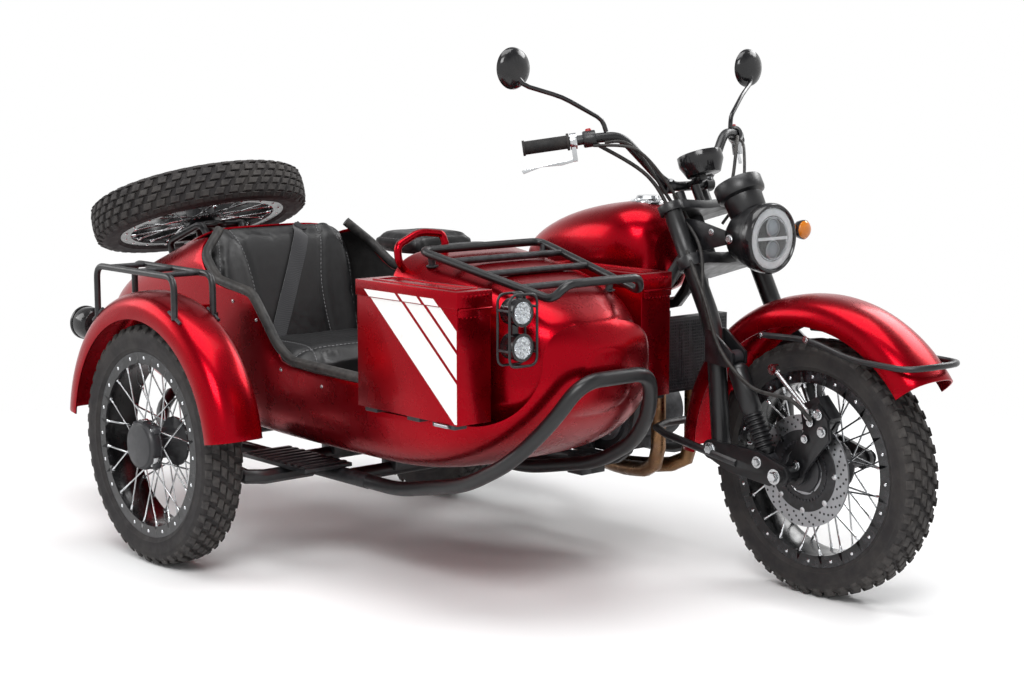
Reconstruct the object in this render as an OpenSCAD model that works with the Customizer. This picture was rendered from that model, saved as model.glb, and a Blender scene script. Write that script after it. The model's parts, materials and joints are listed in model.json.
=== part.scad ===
// Sidecar motorcycle: a leading-link bike with a passenger sidecar on its right.
// Drawing frame: X forward, Y to the rider's left, Z up, zero under the rear wheel.
// placed() moves the whole machine so that zero is the middle of its footprint.

/* [Wheels] */
// Outside diameter of every tyre, to the tips of the lugs
tyre_d = 630; // [610:1:650]
// Width of every tyre
tyre_w = 112; // [100:1:120]
// Diameter over the rim's flanges
rim_d = 482; // [470:1:490]
// Rear axle to front axle
wheelbase = 1537; // [1500:1:1600]
// Bike's centre plane to the sidecar wheel's
track = 1061; // [1050:1:1090]
// How far the sidecar wheel stands ahead of the rear wheel
wheel_lead = 217; // [190:1:240]
// Spokes on each side of a wheel
spokes_per_side = 20; // [16:2:24]
// Thickness of a spoke
spoke_d = 4.5; // [3.5:0.5:6]

/* [Steering] */
// Lean of the steering head from the vertical
rake = 28; // [26:0.5:30]
// Height at which the fork legs' line is set out
fork_z = 780; // [770:1:790]
// Front axle ahead of the fork legs' line at that height
fork_setback = 331; // [325:1:337]
// Fork legs ahead of the steering stem
fork_offset = 55; // [50:1:60]
// Fork leg to the bike's centre plane
leg_y = 120; // [118:1:126]
// Thickness of a fork leg
leg_d = 48; // [44:1:50]
// Thickness of the handlebar's tube
bar_d = 25; // [22:1:28]
// Centre plane to the end of a grip
grip_end_y = 396; // [380:1:410]

/* [Sidecar] */
// Bike's centre plane to the sidecar body's
sidecar_y = 537; // [530:1:545]
// Thickness of the body's shell
tub_wall = 6; // [5:0.5:8]
// Length of a side box
box_l = 383; // [370:1:390]
// Width of a side box
box_w = 105; // [95:1:110]
// Height of a side box with its lid
box_h = 306; // [296:1:312]
// Sheet thickness of a side box
box_wall = 3; // [2:0.5:4]
// Width of the sidecar fender
fender_w = 148; // [140:1:156]
// Thickness of the main frame's tubes
frame_d = 40; // [36:1:42]
// Thickness of the crash bar's tube
crash_d = 36; // [32:1:40]
// Thickness of the racks' tubes
rack_d = 20; // [16:1:22]

/* [Hidden] */
$fn = 48;

// Gap between pieces that rest on one another
seat_gap = 0.3;
tyre_r = tyre_d / 2;
rim_r = rim_d / 2;
front_hub = [wheelbase, 0, tyre_r];
rear_hub = [0, 0, tyre_r];
sidecar_hub = [wheel_lead, -track, tyre_r];

// A straight round bar from a to b
module rod(a, b, d) {
  along = b - a;
  reach = norm(along);
  translate(a)
    rotate([0, acos(along[2] / reach), atan2(along[1], along[0])])
      cylinder(h = reach, d = d);
}

// Unit vector of v
function unit(v) = v / norm(v);

// A path whose inner corners are rounded over a length r, as three points each
function bent(p, r) = [
  for (i = [0 : len(p) - 1])
    each (i == 0 || i == len(p) - 1) ? [p[i]] :
      let (back = p[i - 1] - p[i], on = p[i + 1] - p[i], q = min(r, 0.45 * norm(back), 0.45 * norm(on)),
           a = p[i] + q * unit(back), b = p[i] + q * unit(on))
      [a, (a + 2 * p[i] + b) / 4, b]
];

// Direction of a path at point i
function heading(p, i) =
  i == 0 ? unit(p[1] - p[0]) :
  i == len(p) - 1 ? unit(p[i] - p[i - 1]) :
  unit(unit(p[i] - p[i - 1]) + unit(p[i + 1] - p[i]));

// A tube of diameter d along points p, ringed from the side vector and flattened across it
module tube(p, d, side = [0, 1, 0], sides = 8, flat = 1) {
  rings = [
    for (i = [0 : len(p) - 1])
      let (t = heading(p, i), n = unit(cross(t, side)), b = cross(t, n))
      for (k = [0 : sides - 1])
        let (a = 360 * (k + 0.5) / sides)
        p[i] + d / 2 * (flat * cos(a) * n + sin(a) * b)
  ];
  last = len(p) - 1;
  walls = [
    for (i = [0 : last - 1], k = [0 : sides - 1])
      let (m = (k + 1) % sides)
      [i * sides + k, (i + 1) * sides + k, (i + 1) * sides + m, i * sides + m]
  ];
  start = [for (k = [0 : sides - 1]) k];
  finish = [for (k = [0 : sides - 1]) last * sides + sides - 1 - k];
  polyhedron(points = rings, faces = concat([start], walls, [finish]), convexity = 6);
}

// A shell of even sections stacked along X: each row is x, half width, low z, high z, squareness
function section(row, n) = [
  for (k = [0 : n - 1])
    let (a = 360 * (k + 0.5) / n, c = cos(a), s = sin(a), e = 2 / row[4])
    [row[0], sign(c) * row[1] * pow(abs(c), e),
     (row[2] + row[3]) / 2 + sign(s) * (row[3] - row[2]) / 2 * pow(abs(s), e)]
];

module loft(rows, n) {
  last = len(rows) - 1;
  walls = [
    for (i = [0 : last - 1], k = [0 : n - 1])
      let (m = (k + 1) % n)
      each [[i * n + k, (i + 1) * n + k, i * n + m], [i * n + m, (i + 1) * n + k, (i + 1) * n + m]]
  ];
  start = [for (k = [0 : n - 1]) k];
  finish = [for (k = [0 : n - 1]) last * n + n - 1 - k];
  polyhedron(points = [for (row = rows) each section(row, n)], faces = concat([start], walls, [finish]),
             convexity = 8);
}

// Moves what is drawn about the bike's middle over to the sidecar's
module at_sidecar() { translate([0, -sidecar_y, 0]) children(); }

// Draws a piece on both sides of the local centre plane
module both_sides() {
  children();
  mirror([0, 1, 0]) children();
}

// A flat outline in the XZ plane, given thickness along Y about y
module plate(y, thick) { translate([0, y + thick / 2, 0]) rotate([90, 0, 0]) linear_extrude(thick)
  children(); }

// Wheels: half the rim's width, the bead's seat, the spoke ends, the hub and its axle
rim_half = 48;
flange_w = 5;
bead_r = rim_r - 13;
nipple_r = rim_r - 29;
hub_r = 40;
hub_half = 55;
hub_flange_r = 64;
hub_flange_y = 38;
axle_d = 20;
running_gap = 0.05;
disc_r = 137;
disc_y = 70;
disc_thick = 5;

// Turns what is drawn about Z to the axle through a hub, with Z towards the right
module about_axle(hub) { translate(hub) rotate([90, 0, 0]) children(); }

// Half outlines of the tyre's outside and inside: radius, half width
tyre_outside = [
  [bead_r + seat_gap, rim_half - flange_w - seat_gap],
  [rim_r + 2 * seat_gap, rim_half - flange_w - seat_gap],
  [rim_r + 2 * seat_gap, rim_half + 1],
  [rim_r + 20, tyre_w / 2 - 1],
  [(rim_r + tyre_r) / 2 + 2, tyre_w / 2],
  [tyre_r - 19, tyre_w / 2 - 2],
  [tyre_r - 9, tyre_w / 2 - 10],
  [tyre_r - 3, tyre_w / 2 - 28],
  [tyre_r, tyre_w / 2 - 46]
];
tyre_inside = [
  [bead_r + seat_gap, rim_half - flange_w - 14],
  [rim_r + 4, rim_half - 10],
  [rim_r + 22, tyre_w / 2 - 13],
  [tyre_r - 30, tyre_w / 2 - 15],
  [tyre_r - 18, tyre_w / 2 - 40]
];
function mirrored(half) = concat(half, [for (i = [len(half) - 1 : -1 : 0]) [half[i][0], -half[i][1]]]);

module tyre() {
  rotate_extrude($fn = 96)
    difference() {
      polygon(mirrored(tyre_outside));
      polygon(mirrored(tyre_inside));
    }
}

module rim() {
  rotate_extrude($fn = 96)
    polygon(mirrored([
      [nipple_r - 4, 26], [nipple_r, rim_half], [rim_r, rim_half], [rim_r, rim_half - flange_w],
      [bead_r, rim_half - flange_w], [bead_r - 2, 24], [nipple_r + 4, 16]
    ]));
}

module hub(bore_d) {
  difference() {
    union() {
      cylinder(h = 2 * hub_half, r = hub_r, center = true);
      for (side = [-1, 1])
        translate([0, 0, side * hub_flange_y]) cylinder(h = 8, r = hub_flange_r, center = true);
    }
    cylinder(h = 4 * hub_half, d = bore_d, center = true);
  }
}

// Crossed spokes from both hub flanges to the rim's edges
module spokes() {
  step = 360 / spokes_per_side;
  cross_angle = 34;
  for (side = [-1, 1], k = [0 : spokes_per_side - 1])
    let (a = k * step + (side > 0 ? step / 2 : 0), b = a + (k % 2 == 0 ? cross_angle : -cross_angle),
         inner = hub_flange_r - 5, outer = nipple_r + 2)
    rod([inner * cos(b), inner * sin(b), side * hub_flange_y],
        [outer * cos(a), outer * sin(a), side * (rim_half - 7)], spoke_d, $fn = 6);
}

module wheel() {
  rim();
  hub(axle_d + 2 * running_gap);
  spokes();
}

module rear_tyre() { color("#1b1b1c") about_axle(rear_hub) tyre(); }
module front_tyre() { color("#1b1b1c") about_axle(front_hub) tyre(); }
module sidecar_tyre() { color("#1b1b1c") about_axle(sidecar_hub) tyre(); }
module rear_wheel() { color("#2a2a2c") about_axle(rear_hub) wheel(); }

// The front wheel carries a drilled brake disc on its right
module front_wheel() {
  carrier_r = 92;
  color("#2a2a2c") about_axle(front_hub) {
    wheel();
    difference() {
      union() {
        translate([0, 0, disc_y - disc_thick / 2]) cylinder(h = disc_thick, r = disc_r);
        translate([0, 0, hub_half - 1]) cylinder(h = disc_y - hub_half + 1, r = 46);
      }
      translate([0, 0, hub_half - 2]) cylinder(h = 60, d = axle_d + 2 * running_gap);
      for (k = [0 : 5])
        rotate(k * 60) translate([carrier_r - 23, 0, disc_y - disc_thick])
          cylinder(h = 2 * disc_thick, r = 15);
    }
  }
}

// The sidecar wheel's outer cap is a drum with three ears
module sidecar_wheel() {
  cap_r = 58;
  color("#2a2a2c") about_axle(sidecar_hub) {
    wheel();
    difference() {
      union() {
        translate([0, 0, hub_half - 14]) cylinder(h = 30, r = cap_r);
        for (k = [0 : 2])
          rotate(90 + k * 120) translate([cap_r - 4, 0, hub_half - 12]) cylinder(h = 20, r = 15);
      }
      translate([0, 0, hub_half - 20]) cylinder(h = 24, d = axle_d + 2 * running_gap);
    }
  }
}

// Steering head: its axis leans back by the rake and lies behind the fork legs' line
head_z = 838;
head_half = 60;
head_d = 58;
stem_d = 36;
clamp_gap = 1;
lower_clamp_h = 30;
upper_clamp_h = 22;
fork_x = wheelbase - fork_setback;
function leg_x(z) = fork_x - tan(rake) * (z - fork_z);
head_at = [leg_x(head_z) - fork_offset / cos(rake), 0, head_z];
module at_head() { translate(head_at) rotate([0, -rake, 0]) children(); }

// Fork: top, bend and foot of a leg, and the pins it carries
leg_top_z = 925;
leg_bend_z = 655;
leg_knee = [wheelbase - 248, leg_y, 585];
leg_foot = [wheelbase - 223, leg_y, 316];
leg_flat = leg_d / 2 * cos(15);
leg_path = bent([
  [leg_x(leg_top_z), leg_y, leg_top_z], [leg_x(leg_bend_z), leg_y, leg_bend_z], leg_knee, leg_foot
], 34);
link_y = leg_y + leg_d / 2 + 4;
link_thick = 14;
link_pivot = [leg_foot[0] - 3, 0, 346];
shock_low = [wheelbase - 71, 0, 337];
shock_high = [wheelbase - 189, 0, 575];
shock_eye_w = 40;
shock_d = 52;

// Handlebar: half of its path, and the point where its clamps hold it
bar_x = wheelbase - 471;
bar_half = [
  [bar_x, 70, 977], [bar_x - 50, 190, 1108], [bar_x - 74, 256, 1104], [bar_x - 92 - grip_end_y / 4,
      grip_end_y, 1078]
];
bar_path = concat([for (i = [3 : -1 : 0]) [bar_half[i][0], -bar_half[i][1], bar_half[i][2]]], bar_half);
riser_at = [27, 45];
riser_top = 137.5;

module clamp_outline() {
  polygon([
    [-34, -30], [-34, 30], [fork_offset - 8, leg_y + 24], [fork_offset + 8, leg_y + 24],
    [fork_offset + 32, leg_y - 20], [fork_offset + 14, 0], [fork_offset + 32, 20 - leg_y],
    [fork_offset + 8, -leg_y - 24], [fork_offset - 8, -leg_y - 24]
  ]);
  for (side = [-1, 1])
    translate([fork_offset, side * leg_y]) circle(d = leg_d + 18);
}

module fork() {
  color("#1c1c1e") {
    at_head() {
      translate([0, 0, -head_half - clamp_gap - lower_clamp_h]) linear_extrude(lower_clamp_h)
        clamp_outline();
      translate([0, 0, head_half + clamp_gap]) linear_extrude(upper_clamp_h) clamp_outline();
      cylinder(h = 2 * (head_half + clamp_gap + 10), d = stem_d, center = true);
      for (side = [-1, 1])
        translate([riser_at[0], side * riser_at[1], head_half + clamp_gap])
          cylinder(h = riser_top - bar_d / 2 - head_half - clamp_gap, r = 16);
    }
    both_sides() {
      tube(leg_path, leg_d, sides = 12);
      for (side = [-1, 1])
        plate(leg_y + side * (shock_eye_w / 2 + 4 + seat_gap), 8)
          translate([shock_high[0], shock_high[2]])
            polygon([[-72, -15], [-72, 65], [-52, 65], [18, 15], [18, -15], [0, -23]]);
      translate([link_pivot[0], link_y - seat_gap, link_pivot[2]])
        rotate([90, 0, 0]) cylinder(h = 30, r = 22);
    }
  }
}

// Leading link: two arms on the axle, joined by a loop of tube behind the wheel
module leading_link() {
  arm_y = link_y + link_thick / 2;
  loop_x = wheelbase - front_fender_crown - 24;
  loop_y = arm_y + 6;
  color("#1c1c1e") {
    both_sides() {
      plate(arm_y, link_thick) {
        polygon([
          [link_pivot[0] - 14, link_pivot[2] + 20], [link_pivot[0] + 14, link_pivot[2] + 22],
          [shock_low[0], shock_low[2] + 26], [wheelbase + 16, tyre_r + 22], [wheelbase + 24, tyre_r - 8],
          [wheelbase - 30, tyre_r - 30], [link_pivot[0] + 60, link_pivot[2] - 46],
          [link_pivot[0] - 20, link_pivot[2] - 16]
        ]);
        translate([link_pivot[0], link_pivot[2]]) circle(r = 24);
        translate([wheelbase, tyre_r]) circle(r = 26);
      }
      translate([shock_low[0], link_y + 1, shock_low[2]]) rotate([90, 0, 0])
        cylinder(h = shock_eye_w + 16, r = 7);
      translate([wheelbase, link_y + link_thick + 18, tyre_r]) rotate([90, 0, 0])
        cylinder(h = 20, r = 17, $fn = 6);
    }
    tube(bent([
      [link_pivot[0] + 90, -loop_y, link_pivot[2] - 22], [loop_x, -loop_y, link_pivot[2] + 26],
      [loop_x, loop_y, link_pivot[2] + 26], [link_pivot[0] + 90, loop_y, link_pivot[2] - 22]
    ], 70), 20, side = [0.2, 0, 1]);
    translate([wheelbase, link_y + 1, tyre_r]) rotate([90, 0, 0]) cylinder(h = 2 * link_y + 2, d = axle_d);
    for (side = [-1, 1])
      translate([wheelbase, side * (disc_y + disc_thick / 2 + 12 + link_y) / 2, tyre_r])
        rotate([90, 0, 0]) cylinder(h = link_y - disc_y - disc_thick / 2 - 11, r = 17, center = true);
  }
}

// One coil-over shock from a lower to an upper eye, standing in the plane y
module shock(low, high, y, d) {
  axis = unit(high - low);
  reach = norm(high - low);
  eye = [0, y, 0];
  difference() {
    union() {
      rod(low + eye, high + eye, d * 0.4);
      rod(low + eye + 24 * axis, low + eye + 0.42 * reach * axis, d * 0.8);
      rod(low + eye + 0.4 * reach * axis, high + eye - 22 * axis, d);
      for (k = [0 : 3])
        rod(low + eye + (40 + 17 * k) * axis, low + eye + (47 + 17 * k) * axis, d * 0.94);
      for (p = [low, high])
        translate(p + eye) rotate([90, 0, 0]) cylinder(h = shock_eye_w, r = 17, center = true);
    }
    for (p = [low, high])
      translate(p + eye) rotate([90, 0, 0]) cylinder(h = 2 * shock_eye_w, r = 7 + seat_gap, center = true);
  }
}

module front_shocks() { color("#19191b") both_sides() shock(shock_low, shock_high, leg_y, shock_d); }

// Curved fender section: crown radius, skirt radius, half width, wall, fullness
function fender_half(crown, skirt, half, full) = [
  for (i = [0 : 8])
    let (t = i / 8, y = half * sin(90 * t))
    [skirt + (crown - skirt) * pow(1 - pow(y / half, full), 1 / full), y]
];
module fender(crown, skirt, half, wall, full, from, sweep) {
  outer = fender_half(crown, skirt, half, full);
  inner = fender_half(crown - wall, skirt, half - wall, full);
  band = concat([for (i = [len(outer) - 1 : -1 : 1]) [outer[i][0], -outer[i][1]]], outer,
                [for (i = [len(inner) - 1 : -1 : 0]) inner[i]],
                [for (i = [1 : len(inner) - 1]) [inner[i][0], -inner[i][1]]]);
  rotate([0, 0, from]) rotate_extrude(angle = sweep, $fn = 96) polygon(band);
}

front_fender_crown = 424;
front_fender_skirt = 352;
front_fender_half = 88;
fender_wall = 4;
module front_fender() {
  stay_z = 612;
  color("#8e0d1a") {
    about_axle(front_hub) fender(front_fender_crown, front_fender_skirt, front_fender_half,
        fender_wall, 2.6, 37, 144);
    both_sides()
      translate([wheelbase - 246, front_fender_half - 6, stay_z]) rotate([-90, 0, 0])
        cylinder(h = leg_y - shock_eye_w / 2 - 8 - 2 * seat_gap - front_fender_half + 6, r = 9);
  }
}

// Guard hoop of tube round the front fender's sides and tip
guard_d = 15;
guard_tip_x = wheelbase + 353;
module fender_guard() {
  guard_y = front_fender_half + guard_d / 2 + seat_gap;
  half = [
    [guard_tip_x, 40, 606], [guard_tip_x - 40, guard_y, 600], [wheelbase + 155, guard_y, 606],
    [wheelbase + 23, guard_y, 640], [wheelbase - 127, guard_y, 636]
  ];
  path = concat([for (i = [4 : -1 : 0]) [half[i][0], -half[i][1], half[i][2]]], half);
  color("#161617") tube(bent(path, 30), guard_d, side = [0, 0, 1]);
}

// Headlamp: a round bowl with a thick bezel, on two ears that stand inside the fork legs
lamp_at = [wheelbase - 192, 0, 861];
lamp_d = 171;
lamp_depth = 118;
ear_thick = 8;
ear_y = leg_y - leg_flat - seat_gap - ear_thick / 2;
module headlamp() {
  color("#b9bcc0") {
    translate(lamp_at) rotate([0, 90, 0])
      rotate_extrude($fn = 96)
        polygon([
          [0, -lamp_depth], [lamp_d * 0.2, -lamp_depth + 4], [lamp_d * 0.36, -lamp_depth * 0.72],
          [lamp_d * 0.46, -lamp_depth * 0.36], [lamp_d * 0.48, -22], [lamp_d / 2, -20], [lamp_d / 2, 0],
          [lamp_d / 2 - 6, 6], [lamp_d / 2 - 20, 2], [lamp_d / 2 - 22, -4], [0, 3]
        ]);
    both_sides() {
      plate(ear_y, ear_thick)
        polygon([
          [leg_x(905), 905], [leg_x(905) + 60, 900], [lamp_at[0] - 55, 880], [lamp_at[0] - 55, 846],
          [leg_x(835) + 40, 828], [leg_x(835), 828]
        ]);
      translate([lamp_at[0] - 73, ear_y, lamp_at[2]]) rotate([90, 0, 0])
        cylinder(h = ear_y - lamp_d * 0.3, r = 12);
    }
  }
}

// Round instrument pod that faces the rider, on an arm from the upper clamp
module instrument() {
  arm_foot = head_half + clamp_gap + upper_clamp_h + seat_gap;
  color("#202022") {
    at_head() {
      translate([fork_offset - 6, 0, arm_foot]) cylinder(h = 62, r = 12);
      translate([fork_offset + 36, 0, arm_foot + 62]) rotate([0, 8, 0]) {
        cylinder(h = 30, r1 = 44, r2 = 58);
        translate([0, 0, 30]) cylinder(h = 24, r = 58);
      }
      translate([fork_offset - 18, -12, arm_foot + 50]) cube([50, 24, 14]);
    }
  }
}

module handlebar() { color("#17171a") tube(bent(bar_path, 34), bar_d, side = [1, 0, 0.6], sides = 10); }

// Runs a piece along the straight end of the bar: z is the distance in from its tip
bar_tip = bar_half[3];
bar_shoulder = bar_half[2];
module along_grip(side) {
  out = bar_tip - bar_shoulder;
  reach = norm(out);
  tip = [bar_tip[0], side * bar_tip[1], bar_tip[2]];
  back = -[out[0], side * out[1], out[2]] / reach;
  translate(tip) rotate([0, acos(back[2]), atan2(back[1], back[0])]) children();
}

grip_l = 118;
grip_d = 34;
bar_bore = bar_d + 2 * seat_gap;
module grips() {
  color("#141415")
    for (side = [-1, 1])
      along_grip(side)
        difference() {
          union() {
            translate([0, 0, 1]) cylinder(h = grip_l - 1, d = grip_d);
            translate([0, 0, grip_l - 6]) cylinder(h = 6, d = grip_d + 9);
            cylinder(h = 6, d = grip_d + 5);
          }
          translate([0, 0, -1]) cylinder(h = 2 * grip_l, d = bar_bore);
        }
}

// Perch, lever and switch block on each side, inboard of the grip
lever_drop = 8;
module levers() {
  color("#a9abad")
    for (side = [-1, 1])
      along_grip(side) {
        difference() {
          union() {
            translate([0, 0, grip_l + 2]) cylinder(h = 17, d = bar_d + 16);
            rotate([0, 0, side * lever_drop]) translate([9, -13, grip_l + 4]) cube([42, 26, 11]);
          }
          translate([0, 0, -1]) cylinder(h = 3 * grip_l, d = bar_bore);
        }
        rotate([0, 0, side * lever_drop])
          translate([44, 0, 0]) rotate([90, 0, 0]) linear_extrude(9, center = true)
            polygon([[0, grip_l + 11], [8, grip_l + 2], [12, grip_l - 26], [9, 40], [20, -6], [12, -10], [0, 36],
                     [2, grip_l - 24], [-4, grip_l + 2]]);
      }
}

// Round mirrors on bent stems that stand on the perches
mirror_at = [bar_x - 180, 430, 1277];
mirror_d = 105;
module mirrors() {
  color("#161617")
    both_sides() {
      stem = [
        [bar_x - 64, 228, 1106 + bar_d / 2 + 0.4], [bar_x - 70, 236, 1150], [bar_x - 116, 330, 1206],
        [bar_x - 166, 418, 1236], mirror_at - [0, 0, 8]
      ];
      tube(bent(stem, 24), 12, side = [1, 0.3, 0]);
      translate(mirror_at) rotate([0, -90, 0])
        rotate_extrude()
          polygon([[0, -14], [mirror_d * 0.3, -10], [mirror_d * 0.46, 0], [mirror_d / 2, 10],
              [mirror_d / 2 - 4, 12], [0, 10]]);
    }
}

// Single amber indicator on a stalk from the left lamp ear
module indicator() {
  at = [lamp_at[0] - 75, 152, 872];
  color("#e0731a") {
    translate(at) rotate([0, 90, 0])
      rotate_extrude()
        polygon([[0, -26], [16, -24], [25, -10], [25, 8], [18, 18], [0, 22]]);
    translate([at[0] - 6, at[1] - 20, at[2]]) rotate([90, 0, 0])
      cylinder(h = at[1] - 20 - ear_y - ear_thick / 2 - seat_gap, r = 8);
  }
}

// Brake caliper that straddles the disc, on a plate that hangs from the axle's spacer
module caliper() {
  pad_gap = 5;
  plate_y = -(disc_y + disc_thick / 2 + 30);
  inner = [wheelbase, 0, tyre_r];
  color("#1a1a1c") {
    translate(inner)
      plate(plate_y, 10)
        difference() {
          union() {
            polygon([[-20, 0], [-16, 40], [30, 112], [40, 160], [66, 172], [98, 140], [104, 92],
                [60, 40], [24, -6]]);
            circle(r = 32);
          }
          circle(r = 17 + seat_gap);
        }
    for (y = [plate_y + 17, -(disc_y - disc_thick / 2 - pad_gap - 7)])
      translate(inner) plate(y, y < -disc_y ? 24 : 14) polygon([[20, 96], [8, 150], [60, 176],
          [92, 128], [62, 82]]);
    translate(inner) plate(-disc_y, 40) polygon([[14, 146], [8, 168], [52, 190], [96, 142], [84, 122],
        [54, 142]]);
  }
}

// Bike frame: tube size, the swingarm's pivot and the height of the seat rails
bike_tube_d = 32;
bike_tube_flat = bike_tube_d / 2 * cos(22.5);
pivot_at = [430, 0, 362];
pivot_half = 112;
shock_top = [74, 0, 655];
shock_plane = 158.6;
seat_rail_z = 690;
cradle_z = 246;
tank_floor_z = 676;
side_lug_y = 172;
lug_w = 56;
side_lugs = [[480, cradle_z], [868, cradle_z], [424, 486]];

// Middle of the seat rails: level under the rider, then rising to the tail
rail_turn_x = 36;
function rail_line(x) = seat_rail_z - bike_tube_flat + max(0, rail_turn_x - x) * 0.16;
module bike_frame() {
  color("#1c1c1e") {
    difference() {
      union() {
        at_head() cylinder(h = 2 * head_half, d = head_d, center = true);
        both_sides() {
          tube(bent([head_at + [-6, 16, -20], [985, 62, 654], [560, 110, 652], [470, 114, rail_line(470)],
                     [rail_turn_x, 122, rail_line(rail_turn_x)], [-150, 112, rail_line(-150)]], 60),
                         bike_tube_d);
          tube(bent([head_at + [-14, 14, -10], [1066, 56, 752], [1046, 104, 640], [1000, 132, 286],
              [900, 140, cradle_z],
                     [470, 140, cradle_z], [400, 132, 330], [430, 122, 500], [560, 110, 640]], 60),
                         bike_tube_d);
          translate([pivot_at[0], 132, pivot_at[2]]) rotate([90, 0, 0])
            cylinder(h = 2 * (132 - pivot_half - seat_gap), r = 24, center = true);
          translate([shock_top[0], 176, shock_top[2]]) rotate([90, 0, 0]) cylinder(h = 60, r = 7);
        }
        translate([690, -120, 640]) cube([70, 240, tank_floor_z - seat_gap - 640]);
        translate([440, -112, 634]) cube([36, 224, 24]);
        for (lug = side_lugs)
          translate([lug[0] - lug_w / 2, -side_lug_y, lug[1] - lug_w / 2])
            cube([lug_w, side_lug_y - 124, lug_w]);
      }
      at_head() cylinder(h = 6 * head_half, d = stem_d + 2 * running_gap, center = true);
    }
  }
}

// Engine: crankcase, a finned cylinder block, the head and the side covers
module engine() {
  fin_step = 15;
  fins = 8;
  color("#303134") {
    translate([500, -108, 270]) cube([420, 216, 190]);
    translate([880, 0, 365]) rotate([90, 0, 0]) cylinder(h = 216, r = 78, center = true);
    translate([690, -92, 459]) cube([220, 184, fin_step * fins]);
    for (k = [0 : fins - 1])
      translate([676, -104, 466 + k * fin_step]) cube([248, 208, 7]);
    translate([684, -98, 459 + fin_step * fins]) cube([232, 196, 52]);
    translate([640, 0, 375]) rotate([90, 0, 0]) cylinder(h = 244, r = 84, center = true);
    translate([812, 0, 350]) rotate([90, 0, 0]) cylinder(h = 238, r = 66, center = true);
    for (side = [-1, 1])
      translate([560, side * 116 - 10, cradle_z + bike_tube_flat + seat_gap]) cube([280, 20, 30]);
  }
}

// Radiator: framed core with upright fins, hung on the down tubes
radiator_x = 1086;
radiator_z = [452, 644];
module radiator() {
  half = 118;
  depth = 34;
  tall = radiator_z[1] - radiator_z[0];
  color("#1a1a1b") {
    difference() {
      translate([radiator_x - depth / 2, -half, radiator_z[0]]) cube([depth, 2 * half, tall]);
      for (k = [0 : 16])
        translate([radiator_x + depth / 2 - 7, -half + 16 + k * 12, radiator_z[0] + 14])
          cube([8, 8, tall - 28]);
    }
    both_sides() translate([1055.8, 100, 576]) cube([16, 16, 20]);
  }
}

// Exhaust: two headers that run under the engine into one silencer on the left
pipe_d = 42;
muffler_at = [300, 238, 300];
muffler_l = 520;
muffler_d = 98;
outlet_d = 44;
outlet_depth = 60;
module exhaust() {
  color("#8d6a45") {
    difference() {
      union() {
        for (y = [-62, 62])
          tube(bent([[927, y, 500], [1032, y, 486], [1034, y, 236], [880, y * 0.5, 212],
              [760, 0, 212]], 62), pipe_d);
        tube(bent([[790, 0, 212], [640, 20, 198], [430, muffler_at[1], 200], [350, muffler_at[1], 296],
                   [290, muffler_at[1], 300]], 50), pipe_d + 4, side = [0, 0.3, 1]);
        translate(muffler_at) rotate([0, -90, 0])
          rotate_extrude($fn = 64)
            polygon([[0, -10], [30, -10], [muffler_d / 2, 50], [muffler_d / 2, muffler_l - 30], [40,
                muffler_l], [0, muffler_l]]);
      }
      translate(muffler_at - [muffler_l - outlet_depth, 0, 0]) rotate([0, -90, 0])
        cylinder(h = outlet_depth + 20, d = outlet_d);
    }
  }
}

// Tank sections along X: x, half width, low z, high z, squareness
tank_rows = [
  [505, 46, 700, 772, 2.6], [560, 98, 686, 826, 2.8], [640, 128, tank_floor_z, 870, 2.8],
  [740, 146, tank_floor_z, 904, 2.8], [850, 152, tank_floor_z, 926, 2.7], [940, 144, 684, 932, 2.6],
  [1000, 118, 708, 906, 2.5], [1030, 76, 748, 866, 2.4]
];
cap_at = [924, 0, 931];
module fuel_tank() {
  color("#8e0d1a")
    difference() {
      loft(tank_rows, 28);
      translate(cap_at - [0, 0, 12]) cylinder(h = 60, r = 34);
    }
}
module filler_cap() {
  color("#c8cacc") translate(cap_at - [0, 0, 12 - seat_gap]) {
    cylinder(h = 20, r = 33);
    translate([0, 0, 19]) cylinder(h = 8, r1 = 33, r2 = 28);
  }
}

// Seats as padded sections on the rails
module rider_seat() {
  low = seat_rail_z + seat_gap;
  color("#141415")
    union() {
      loft([[96, 110, low, low + 62, 3.2], [150, 136, low, low + 76, 3.2], [300, 136, low, low + 62, 3.2],
            [430, 108, low, low + 66, 3], [494, 74, low + 16, low + 72, 2.8]], 20);
      translate([112, -126, low]) cube([340, 252, 9]);
    }
}
module pillion_seat() {
  low = 730;
  color("#141415") {
    loft([[-138, 104, low + 8, low + 50, 3], [-110, 122, low, low + 60, 3.4], [40, 125, low, low + 60, 3.4],
          [72, 106, low + 8, low + 50, 3]], 20);
    for (x = [-100, 10], side = [-1, 1])
      let (foot = rail_line(x) + 1.02 * bike_tube_flat + 1.2)
        translate([x, side * 108 - 10, foot]) cube([20, 20, low + 8 - foot]);
  }
}

// Rear fender, with the tail lamp on its back and brackets up to the seat rails
rear_crown = 396;
module rear_fender() {
  color("#161617") {
    about_axle(rear_hub) fender(rear_crown, 346, 84, fender_wall, 2.8, 79, 111);
    both_sides() translate([-70, 74, 655]) cube([30, 46, rail_line(-40)
      - 1.02 * bike_tube_flat - seat_gap - 655]);
  }
}
module bike_tail_lamp() {
  color("#a5161c") {
    about_axle(rear_hub) rotate([0, 0, 152]) {
      translate([rear_crown + seat_gap, -26, -40]) cube([30, 52, 80]);
      translate([rear_crown + 10, -14, -60]) cube([16, 28, 120]);
    }
  }
}

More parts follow.
